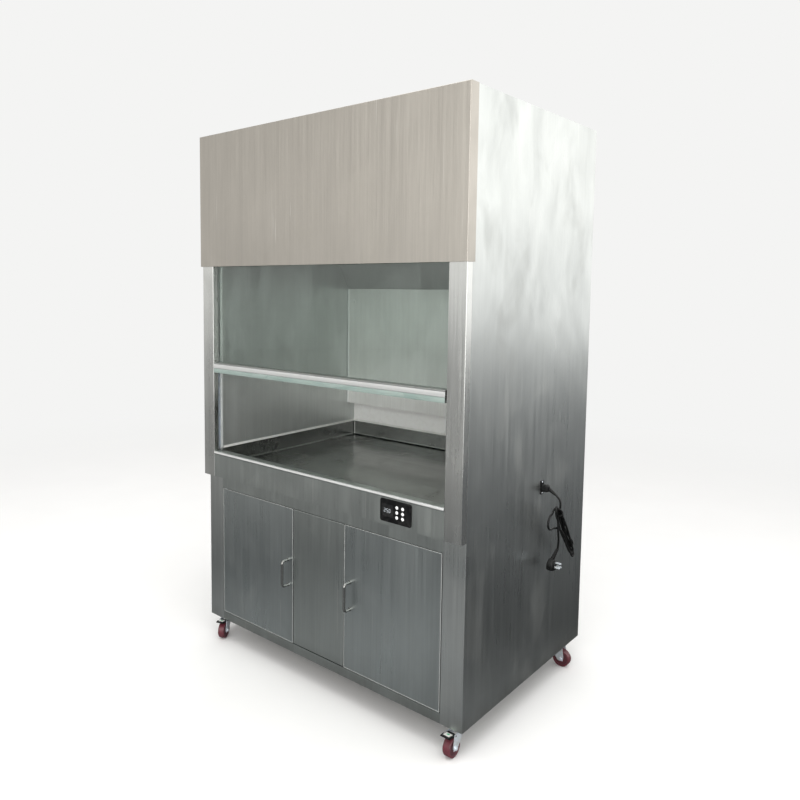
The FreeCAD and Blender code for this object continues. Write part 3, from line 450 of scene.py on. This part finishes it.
# The room's light, by the upward part of the direction.
SKY_BACK = [(-1.0, grey(0.30)), (-0.14, grey(0.55)), (-0.06, grey(1.2, 0.01)), (0.0, grey(1.45, 0.01)),
            (0.14, grey(1.28, 0.02)), (0.6, grey(1.0)), (1.0, grey(0.9))]
SKY_FRONT = [(-1.0, grey(0.5)), (-0.2, grey(0.28)), (-0.1, grey(0.36)), (-0.03, grey(0.7, 0.01)),
             (0.02, grey(1.05, 0.02)), (0.1, grey(0.85, 0.02)), (0.23, grey(0.68, 0.03)),
             (0.6, grey(0.55, 0.03)), (1.0, grey(0.8))]


def make_floor():
    """Plain pale disc that fades into the backdrop, with a darker tone in reflections, as under flags."""
    mesh = bpy.data.meshes.new("floor")
    shape = bmesh.new()
    bmesh.ops.create_circle(shape, cap_ends=True, radius=FLOOR_RADIUS, segments=96)
    shape.to_mesh(mesh)
    shape.free()
    floor = bpy.data.objects.new("floor", mesh)
    scene.collection.objects.link(floor)
    s = Shader("floor_paint")
    ray = s.node("ShaderNodeLightPath").outputs
    to_front_left = s.times(s.add(s.axes[0], s.axes[1]), -math.sqrt(0.5))
    speck = s.spread(s.noise(3.0, 4), 0.3, 0.7, 0.98, 1.0)
    colour = s.mix(ray["Is Glossy Ray"], PALE, s.ramp(to_front_left, FLOOR_SEEN))
    s.finish(Base_Color=s.mix(1.0, colour, s.grey(speck), "MULTIPLY"), Roughness=0.7, Specular_IOR_Level=0.0)
    paint = s.output.inputs["Surface"].links[0].from_socket
    backdrop = s.node("ShaderNodeEmission", Color=PALE).outputs[0]
    away = s.vector("LENGTH", s.point)["Value"]
    fade = s.times(ray["Is Camera Ray"], s.spread(away, *FLOOR_FADE, smooth=True))
    s.feed(s.output.inputs["Surface"], s.blend(fade, paint, backdrop))
    mesh.materials.append(s.material)


def make_surroundings():
    """Soft room light: bright behind the hood's right side, dimmer in front; a plain backdrop to the eye."""
    world = bpy.data.worlds.new("room")
    world.use_nodes = True
    scene.world = world
    s = Nodes(world.node_tree, "Generated")
    x, y, z = s.axes
    frontward = s.add(s.times(x, -0.35), s.times(y, -0.94))
    to_front = s.spread(frontward, -0.75, 0.35, smooth=True)
    light = s.mix(to_front, s.ramp(z, SKY_BACK), s.ramp(z, SKY_FRONT))
    eye = s.node("ShaderNodeLightPath").outputs["Is Camera Ray"]
    background = s.node("ShaderNodeBackground", Color=s.mix(eye, light, PALE), Strength=1.0)
    s.node("ShaderNodeOutputWorld", Surface=background.outputs[0])


def make_lights():
    area_light("soft_top", (0.4, -0.6, 4.2), (0, 0, 0.8), (4.0, 4.0), 105)
    area_light("soft_front", (2.1, -4.5, 2.2), (0, 0, 1.1), (6.4, 4.3), 160, (1.0, 0.99, 0.975))
    area_light("soft_back", (3.6, 3.4, 2.9), (0.4, 0, 1.6), (3.2, 1.8), 10, (1.0, 0.985, 0.96))


# ================================ mesh helpers ==================================================

def add(name, mesh, finish, body, slot_name, *stands_for, stretch=None):
    """Put a finished mesh or curve in the scene as a piece of the object.

    With stretch given, its placing is baked into its mesh and it joins no body; the two points are not used.
    """
    made = bpy.data.objects.new(name, mesh)
    scene.collection.objects.link(made)
    mesh.materials.append(FINISH[finish])
    if isinstance(mesh, bpy.types.Mesh):
        mesh.shade_smooth()
        mesh.set_sharp_from_angle(angle=math.radians(38))
    if stretch:
        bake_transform(made)
    else:
        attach(made, body)
    if stands_for:
        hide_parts(*stands_for)
    return made


def to_mesh(shape, name):
    bmesh.ops.recalc_face_normals(shape, faces=shape.faces)
    mesh = bpy.data.meshes.new(name)
    shape.to_mesh(mesh)
    shape.free()
    return mesh


def skin(shape, rings):
    """Closed surface through rings of equally many points, capped at its two ends."""
    rows = [[shape.verts.new(point) for point in ring] for ring in rings]
    for near_row, far_row in zip(rows, rows[1:]):
        count = len(near_row)
        for i in range(count):
            j = (i + 1) % count
            shape.faces.new((near_row[i], near_row[j], far_row[j], far_row[i]))
    shape.faces.new(rows[0])
    shape.faces.new(rows[-1])


def oval(centre, across, above, half_a, half_b, squareness=2.0, count=28):
    """Ring of points: a circle or ellipse at squareness 2, more like a rounded box above that."""
    points = []
    for i in range(count):
        turn = 2 * math.pi * i / count
        c, s = math.cos(turn), math.sin(turn)
        power = 2 / squareness
        points.append(centre + across * (half_a * math.copysign(abs(c) ** power, c))
                      + above * (half_b * math.copysign(abs(s) ** power, s)))
    return points


def frame_of(axis):
    """Two unit vectors square to an axis and to each other."""
    side = axis.cross(Z if abs(axis.z) < 0.9 else X).normalized()
    return side, axis.cross(side).normalized()


def ribbed_boot(shape, start, end, radius0, radius1, ribs):
    """Tapered strain relief with rings moulded round it."""
    axis = (end - start).normalized()
    side, over = frame_of(axis)
    length = (end - start).length
    rings = []
    steps = ribs * 4
    for i in range(steps + 1):
        share = i / steps
        radius = radius0 + (radius1 - radius0) * share
        if 0 < i < steps and i % 4 in (2, 3):
            radius *= 0.84
        rings.append(oval(start + axis * (length * share), side, over, radius, radius, count=24))
    skin(shape, rings)


def block(shape, low, high, edge=0.0004):
    """Small box with chamfered upright and level edges."""
    low, high = Vector(low), Vector(high)
    made = bmesh.ops.create_cube(shape, size=1.0)["verts"]
    for vert in made:
        vert.co = Vector(low[i] + (high[i] - low[i]) * (vert.co[i] + 0.5) for i in range(3))
    edges = list({e for vert in made for e in vert.link_edges})
    bmesh.ops.bevel(shape, geom=edges, offset=edge, segments=2, affect="EDGES", profile=0.6)


def sweep(shape, path, outline):
    """Flat outline of (out, up) pairs carried along level path points, mitred at its corners."""
    rings = []
    for i, point in enumerate(path):
        before = (point - path[i - 1]).normalized() if i else None
        after = (path[i + 1] - point).normalized() if i < len(path) - 1 else None
        into, out_of = before or after, after or before
        side_in, side_out = into.cross(Z), out_of.cross(Z)
        mitre = (side_in + side_out).normalized()
        mitre /= max(0.2, mitre.dot(side_in))
        rings.append([point + mitre * out + Z * up for out, up in outline])
    skin(shape, rings)


def tube(name, points, radius, rounding, steps):
    """Round tube along a smooth spline that starts and ends at its first and last points."""
    curve = bpy.data.curves.new(name, "CURVE")
    curve.dimensions = "3D"
    curve.bevel_depth = radius
    curve.bevel_resolution = rounding
    curve.resolution_u = steps
    spline = curve.splines.new("NURBS")
    spline.points.add(len(points) - 1)
    for knot, point in zip(spline.points, points):
        knot.co = (*point, 1.0)
    spline.order_u = 3
    spline.use_endpoint_u = True
    return curve


# ================================ mains lead ====================================================

CORD_D = 0.007
INLET = Vector((0.600, 0.081, 0.755))
BOOT_ROOT = Vector((0.626, 0.081, 0.754))
LEAD_ROUTE = [Vector(p) for p in ((0.649, 0.0853, 0.737), (0.660, 0.087, 0.728), (0.666, 0.088, 0.715),
                                  (0.667, 0.0885, 0.701), (0.6645, 0.0885, 0.687))]
HANK_TOP = Vector((0.663, 0.089, 0.689))
HANK_END = Vector((0.660, 0.228, 0.491))
TAIL_ROUTE = [Vector(p) for p in ((0.659, 0.0915, 0.649), (0.660, 0.0905, 0.622), (0.660, 0.0945, 0.596),
                                  (0.6595, 0.100, 0.571), (0.656, 0.102, 0.546))]
PLUG = Vector((0.640, 0.093, 0.489))
TIE_SHARE = 0.07                          # how far down the folded bundle its tie sits
BOW = 0.010                               # how far the bundle bows to the left


def hank_axes():
    """The folded bundle from its top to its end, that run's direction, and the level way across it."""
    run = HANK_END - HANK_TOP
    along = run.normalized()
    return run, along, Vector((0, -along.z, along.y)).normalized()


def in_hank(share, a, out):
    """Point of the bundle: share down its length, a (mm) across it to the back, out (mm) from the panel."""
    run, _, across = hank_axes()
    aside = a * MM - BOW * math.sin(math.pi * min(max(share, 0), 1))
    return HANK_TOP + run * share + across * aside + X * (out * MM)


# Points of the bundle, as in_hank takes them: down to the first fold and up through the tie ...
STRANDS_1 = [
    (0.07, 6, 5), (0.22, 3, 2.5), (0.42, -3, 2), (0.62, 0, 2), (0.74, 2, 1),
    (0.81, 3, 1), (0.835, 13.5, 0), (0.81, 24, -1), (0.70, 21, -3), (0.56, 17, -4),
    (0.40, 10, -5), (0.22, 6, -5), (0.07, 3, -4), (0.0, 2, -9),
]
# ... and from the loop to the long fold, up, over and to the short folds.
STRANDS_2 = [
    (0.42, -13, 2), (0.60, -11, 1), (0.78, -9, -2), (0.92, -8, -3),
    (1.005, -9.5, -2), (1.024, -1, -3), (1.005, 7.5, -4), (0.92, 5, -5), (0.84, 5, -7.5),
    (0.70, 4, -7), (0.52, 0, -5), (0.28, -2, -5), (0.07, -4, -4), (0.02, -5, -6), (-0.02, -6, -7.5),
    (-0.038, -6, 0), (-0.02, -5, 7.5), (0.03, -3, 6), (0.07, -3, 5), (0.15, -1, 8),
    (0.24, 2, 8.5), (0.45, 8, 8), (0.64, 4, 8), (0.78, 1, 8),
    (0.85, -1.5, 7.515), (0.87, -10.5, 6.5), (0.85, -19.5, 5.5), (0.76, -20, 3), (0.60, -19, 3),
    (0.42, -17, -4), (0.24, -13, -8), (0.07, -13, -4), (0.0, -16, -3),
]
INTO_LOOP = [Vector((0.650, 0.077, 0.691))]
LOOP_MIDDLE = Vector((0.651, 0.054, 0.651))
LOOP_HALF = (0.035, 0.0265)
LOOP_TURN = range(75, 286, 30)            # degrees
OUT_OF_LOOP = [Vector((0.652, 0.085, 0.622)), Vector((0.654, 0.109, 0.616))]
OVER_TOP = [Vector(p) for p in ((0.660, 0.0745, 0.698), (0.662, 0.067, 0.7025), (0.6645, 0.0595, 0.698),
                                (0.6655, 0.0585, 0.680), (0.663, 0.069, 0.664))]


def lead_points():
    """Control points of the lead from its boot to the plug's."""
    loop = []
    for number, angle in enumerate(LOOP_TURN):
        turn = math.radians(angle)
        away = 5 * MM * math.sin(math.pi * number / (len(LOOP_TURN) - 1))
        wide, tall = LOOP_HALF
        loop.append(LOOP_MIDDLE + Vector((away, wide * math.cos(turn), tall * math.sin(turn))))
    return (LEAD_ROUTE + [in_hank(*s) for s in STRANDS_1] + INTO_LOOP + loop + OUT_OF_LOOP
            + [in_hank(*s) for s in STRANDS_2] + OVER_TOP + TAIL_ROUTE)


def make_lead():
    """The mains lead: one spline, its tie, connector, plug and pins."""
    curve = tube("mains_lead", lead_points(), CORD_D / 2, 5, 10)
    lead = add("mains_lead", curve, "lead", "cabinet", "cord_black", "power_cord", "cord_hank", "cord_tail")
    others = [make_tie(), make_connector(), make_plug(), make_pins()]


def make_tie():
    """Twist tie: two turns round the bundle and its twisted ends."""
    _, along, across = hank_axes()
    middle = in_hank(TIE_SHARE, -2.5, 0.5)
    points = []
    for i in range(27):
        turn = 2 * math.pi * i / 12
        lift = along * ((i / 27 - 0.5) * 5.0 * MM)
        points.append(middle + lift + across * (13.2 * MM * math.cos(turn)) + X * (9.6 * MM * math.sin(turn)))
    for i in range(9):
        turn = 2.4 * i
        stem = middle - across * ((13.0 + i * 1.2) * MM) + along * (i * 1.0 * MM)
        points.append(stem + along * (1.0 * MM * math.cos(turn)) + X * (1.0 * MM * math.sin(turn)))
    return add("lead_tie", tube("lead_tie", points, 1.1 * MM, 3, 12), "black", "cabinet", "cord_black")


def make_connector():
    """Appliance connector on the inlet, with finger grooves and its ribbed boot."""
    shape = bmesh.new()
    stations = ((2.7, 8.8, 12.8), (3.3, 9.4, 13.4), (11, 9.4, 13.4), (11.6, 8.7, 12.7), (13, 8.7, 12.7),
                (13.6, 9.4, 13.4), (15.4, 9.4, 13.4), (16, 8.7, 12.7), (17.4, 8.7, 12.7), (18, 9.3, 13.2),
                (23, 9.0, 12.6), (26, 8.0, 11.0), (27.6, 6.4, 8.6))
    skin(shape, [oval(INLET + X * (x * MM), Y, Z, a * MM, b * MM, 5) for x, a, b in stations])
    ribbed_boot(shape, BOOT_ROOT, LEAD_ROUTE[0], 7.3 * MM, 4.6 * MM, 5)
    return add("lead_connector", to_mesh(shape, "lead_connector"), "lead", "cabinet", "cord_black",
               "cord_connector")


def make_plug():
    """Moulded plug: waisted grip, face plate towards the pins, ribbed boot on the cord."""
    shape = bmesh.new()
    middle = PLUG - X * (0.5 * MM)
    stations = ((-19.6, 11.0, 14.0), (-18.4, 13.4, 16.6), (-15, 14.4, 17.8), (-6, 14.4, 17.9),
                (3, 13.6, 17.2), (10, 11.6, 14.8), (15, 9.8, 12.2), (18.4, 8.6, 10.0), (19.8, 7.2, 8.2))
    skin(shape, [oval(middle + Z * (z * MM), X, Y, a * MM, b * MM, 3.6) for z, a, b in stations])
    face = [(10.0, 13.0, 15.5), (13.4, 13.0, 15.5), (14.2, 12.3, 14.8)]
    skin(shape, [oval(PLUG + X * (x * MM) - Z * (2 * MM), Y, Z, a * MM, b * MM, 4) for x, a, b in face])
    ribbed_boot(shape, PLUG + Vector((1.5, 0, 17.5)) * MM, TAIL_ROUTE[-1], 7.4 * MM, 4.5 * MM, 6)
    return add("lead_plug", to_mesh(shape, "lead_plug"), "lead", "cabinet", "cord_black", "power_plug")


def make_pins():
    """Three flat pins with rounded tips."""
    shape = bmesh.new()
    for y, z0, z1, reach in ((-6.5, -9, -2.6, 33), (6.5, -9, -2.6, 33), (0, 5, 11.4, 35)):
        middle = PLUG + Vector((0, y, (z0 + z1) / 2)) * MM
        half = (z1 - z0) / 2
        stations = ((13, half), (reach - 3, half), (reach - 1, half * 0.86), (reach - 0.1, half * 0.55))
        skin(shape, [oval(middle + X * (x * MM), Y, Z, 0.8 * MM, h * MM, 6) for x, h in stations])
    return add("plug_pins", to_mesh(shape, "plug_pins"), "zinc", "cabinet", "zinc_plated")


# ================================ small parts ===================================================

GLASS_Y = -0.407                          # middle of the sash glass, which outlines in mm count from
RAIL_STRIPS = {                           # outlines in mm: out from the glass, up from the floor
    "sash_edge_strip": ("mint", "white_key", (
        (30.0, 1118.0), (30.7, 1118.0), (31.0, 1117.5), (31.0, 1102.0), (30.6, 1101.4), (30.0, 1101.2),
        (17.0, 1101.2), (16.6, 1101.6), (16.6, 1102.0), (30.0, 1102.0))),
    "sash_rail_trim": ("rail", "stainless_brushed", (
        (30.0, 1134.5), (30.5, 1134.5), (31.0, 1134.0), (31.2, 1132.5), (31.2, 1121.0), (31.0, 1119.6),
        (30.5, 1119.1), (30.0, 1119.1))),
}


def make_rail_strips():
    """Soft strip clipped along the sash rail's lower front edge, and the bright trim above it."""
    for name, (finish, slot_name, outline) in RAIL_STRIPS.items():
        shape = bmesh.new()
        rings = []
        for i in range(25):
            x = -0.534 + 1.068 * i / 24
            rings.append([Vector((x, GLASS_Y - out * MM, up * MM)) for out, up in outline])
        skin(shape, rings)
        add(name, to_mesh(shape, name), finish, "sash", slot_name)


def make_liner_trims():
    """Bright edge trims down the front edges of the chamber's side walls and the rear baffle's ends."""
    wall = [(537.9, 8.2), (532.6, 8.2), (531.4, 8.6), (531.0, 9.8), (531.0, 13.0), (531.8, 14.4),
            (533.2, 15.0), (537.9, 15.0)]
    baffle = [(537.0, 784.9), (537.0, 782.4), (536.2, 781.4), (533.0, 781.2), (531.6, 782.0), (531.2, 784.9)]
    shape = bmesh.new()
    for side in (-1, 1):
        for outline, heights in ((wall, (0.7945, 1.1, 1.5, 1.875)), (baffle, (0.8875, 1.0, 1.2, 1.4285))):
            skin(shape, [[Vector((side * x * MM, GLASS_Y + y * MM, z)) for x, y in outline] for z in heights])
    add("liner_trims", to_mesh(shape, "liner_trims"), "rail", "cabinet", "stainless_inner")


def make_sill_roll():
    """Bright rub strip over the rolled front of the sill."""
    shape = bmesh.new()
    outline = []
    for radius, turns in ((6.3, range(-10, 121, 10)), (6.0, range(120, -11, -10))):
        for turn in turns:
            angle = math.radians(turn)
            outline.append((-431.0 - radius * math.cos(angle), 779.0 + radius * math.sin(angle)))
    skin(shape, [[Vector((x, y * MM, z * MM)) for y, z in outline] for x in (-0.5375, -0.2, 0.2, 0.5375)])
    add("sill_strip", to_mesh(shape, "sill_strip"), "rail", "cabinet", "stainless_brushed")


def make_door_edge_highlights():
    """Bright strips round the front of each cupboard door, in a lighter finish: a painted highlight along the
    pressed edges.
    """
    wide, proud, sunk = 1.8 * MM, 0.4 * MM, 0.3 * MM
    for node, body in (("door_right", "right_door"), ("door_left", "left_door")):
        low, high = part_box(node)
        shape = bmesh.new()
        near, far = low.y - proud, low.y + sunk
        for x in (low.x, high.x - wide):
            block(shape, (x, near, low.z + wide), (x + wide, far, high.z - wide), 0.0002)
        for z in (low.z, high.z - wide):
            block(shape, (low.x, near, z), (high.x, far, z + wide), 0.0002)
        name = node + "_edges"
        add(name, to_mesh(shape, name), "edge", body, "stainless_brushed")


def make_cables():
    """Wire ropes over the pulleys: one half reaches down to the sash, the other to the counterweight."""
    low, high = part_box("sash_cables")
    radius = 1.5 * MM
    middle, turn = (low.y + high.y) / 2, (high.y - low.y) / 2 - radius
    hub = high.z - radius - turn
    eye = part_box("counterweights")[1].z
    halves = (("cables_front", -1, low.z, "sash"), ("cables_rear", 1, eye, "counterweight_pair"))
    for name, side, end, body in halves:
        shape = bmesh.new()
        for x in (low.x + radius, high.x - radius):
            path = [Vector((x, middle + side * turn, end))]
            for step in range(10):
                angle = math.radians(10 * step)
                path.append(Vector((x, middle + side * turn * math.cos(angle), hub + turn * math.sin(angle))))
            rings = []
            for i, point in enumerate(path):
                along = (path[min(i + 1, len(path) - 1)] - path[max(i - 1, 0)]).normalized()
                rings.append(oval(point, X, along.cross(X), radius, radius, count=12))
            skin(shape, rings)
        add(name, to_mesh(shape, name), "rope", body, "zinc_plated", "sash_cables",
            stretch=((0, 0, hub), (0, 0, end)))


def make_bead():
    """Sealant bead where the worktop's upstand meets the liner."""
    shape = bmesh.new()
    path = [Vector(p) for p in ((-0.5379, -0.392, 0.793), (-0.5379, 0.4285, 0.793), (0.5379, 0.4285, 0.793),
                                (0.5379, -0.392, 0.793))]
    outline = [(0.0, 0.0), (0.0, 0.0075), (0.0016, 0.0062), (0.0036, 0.0045), (0.0056, 0.0024), (0.0068, 0.0)]
    sweep(shape, path, outline)
    add("worktop_seal", to_mesh(shape, "worktop_seal"), "bead", "cabinet", "lamp_opal")


def cross_head(shape, at, axis, radius, height):
    """Domed screw head with a cross recess, standing on a face."""
    side, over = frame_of(axis)
    profile = ((1.0, 0.0), (1.0, 0.25), (0.9, 0.55), (0.72, 0.8), (0.5, 0.93), (0.3, 0.985), (0.12, 1.0))
    rings = []
    for share, rise in profile:
        ring = []
        for i in range(32):
            turn = 2 * math.pi * i / 32
            in_slot = share < 0.65 and i % 8 in (0, 1, 7)
            lift = height * (rise - (0.5 if in_slot else 0.0))
            out = side * (radius * share * math.cos(turn)) + over * (radius * share * math.sin(turn))
            ring.append(at + out + axis * lift)
        rings.append(ring)
    skin(shape, rings)


def make_screws():
    """Cross-head screws on the back, the roof, the duct flange and the inlet."""
    shape = bmesh.new()
    for x in (-0.560, -0.190, 0.190, 0.560):
        for z in (0.125, 0.755, 1.385, 1.975):
            cross_head(shape, Vector((x, 0.4385, z)), Y, 0.0042, 0.0026)
    for step in range(8):
        turn = math.radians(22.5 + 45 * step)
        cross_head(shape, Vector((0.138 * math.cos(turn), 0.253 + 0.138 * math.sin(turn), 2.0165)), Z,
                   0.0042, 0.0026)
    for x in (-0.570, 0.570):
        for y in (-0.347, -0.107, 0.133, 0.373):
            cross_head(shape, Vector((x, y, 2.015)), Z, 0.0042, 0.0026)
    for z in (-0.019, 0.019):
        cross_head(shape, INLET + Vector((0.0025, 0, z)), X, 0.0034, 0.0019)
    add("cross_screws", to_mesh(shape, "cross_screws"), "zinc", "cabinet", "zinc_plated", "fasteners")


def make_bolts():
    """Hexagon bolts that hold each caster plate up to the base."""
    washer = ((0.0875, 0.0062), (0.0869, 0.0062))
    head = ((0.0868, 0.0052), (0.0840, 0.0052), (0.0834, 0.0046))
    shape = bmesh.new()
    for x, y, _ in CASTERS.values():
        for dx in (-0.022, 0.022):
            for dy in (-0.022, 0.022):
                at = Vector((x + dx, y + dy, 0.0))
                for corners, stations in ((24, washer), (6, head)):
                    skin(shape, [oval(at + Z * z, X, Y, r, r, count=corners) for z, r in stations])
    add("caster_bolts", to_mesh(shape, "caster_bolts"), "zinc", "cabinet", "zinc_plated")


def make_pedal_trim(corner):
    """Grip ribs, pale foot plate and a green dot on a brake pedal."""
    x, y, trails = CASTERS[corner]
    place = Matrix.Translation((x, y, 0)) @ Matrix.Rotation(math.radians(trails), 4, "Z")
    ribs = bmesh.new()
    for i in range(5):
        at = 51.5 + i * 3.4
        for side in (-1, 1):
            low, high = sorted((side * 13.6, side * 16.8))
            block(ribs, Vector((at, low, 78.0)) * MM, Vector((at + 1.6, high, 79.0)) * MM)
    plate = bmesh.new()
    slope = [(40.0, 76.9), (62.5, 80.75), (62.5, 81.35), (40.0, 77.5)]
    skin(plate, [[Vector((a * MM, w * MM, b * MM)) for a, b in slope] for w in (-11.0, -10.5, 10.5, 11.0)])
    dot = bmesh.new()
    skin(dot, [oval(Vector((48.5, 0, 78.5 + lift)) * MM, Vector((0.9856, 0, 0.1689)), Y, r * MM, r * MM)
               for lift, r in ((0.0, 4.6), (0.6, 4.6), (0.9, 4.2))])
    for kind, shape, finish in (("ribs", ribs, "black"), ("plate", plate, "pale"), ("dot", dot, "green")):
        mesh = to_mesh(shape, f"pedal_{kind}_{corner}")
        mesh.transform(place)
        add(f"pedal_{kind}_{corner}", mesh, finish, "brake_" + corner, "black_plastic")


# Seven-segment digits: the bars each digit lights, and each bar's ends in half heights and widths.
SEGMENTS = {"2": "abged", "5": "afgcd", "0": "abcdef"}
BARS = {"a": (0, 2, 1, 2), "b": (1, 1, 1, 2), "c": (1, 0, 1, 1), "d": (0, 0, 1, 0), "e": (0, 0, 0, 1),
        "f": (0, 1, 0, 2), "g": (0, 1, 1, 1)}


def make_digits():
    """Dim segment digits behind the display window: a plain number."""
    shape = bmesh.new()
    wide, tall, thick, deep, pitch = 5.0 * MM, 5.6 * MM, 0.5 * MM, 0.12 * MM, 9.4 * MM
    start, face, foot = 0.3145, -0.4358, 0.7275
    for place, digit in enumerate("250"):
        left = start + place * pitch
        for name in SEGMENTS[digit]:
            x0, z0, x1, z1 = BARS[name]
            low = Vector((left + x0 * wide, face, foot + z0 * tall))
            high = Vector((left + x1 * wide, face, foot + z1 * tall))
            run = (high - low).normalized()
            over = run.cross(Y)
            low, high = low + run * thick * 1.2, high - run * thick * 1.2
            tips = [low - run * thick, low + over * thick, high + over * thick, high + run * thick,
                    high - over * thick, low - over * thick]
            skin(shape, [tips, [tip + Y * deep for tip in tips]])
    point = start + 16.2 * MM
    block(shape, (point, face, 0.7271), (point + 1.2 * MM, face + deep, 0.7283), 0.0001)
    add("display_digits", to_mesh(shape, "display_digits"), "digits", "cabinet", "white_key")


# ================================ put together ==================================================

make_camera()
make_floor()
make_surroundings()
make_lights()
dress_nodes()
make_lead()
make_rail_strips()
make_liner_trims()
make_door_edge_highlights()
make_sill_roll()
make_cables()
make_bead()
make_screws()
make_bolts()
for brake_corner in ("front_right", "front_left"):
    make_pedal_trim(brake_corner)
make_digits()
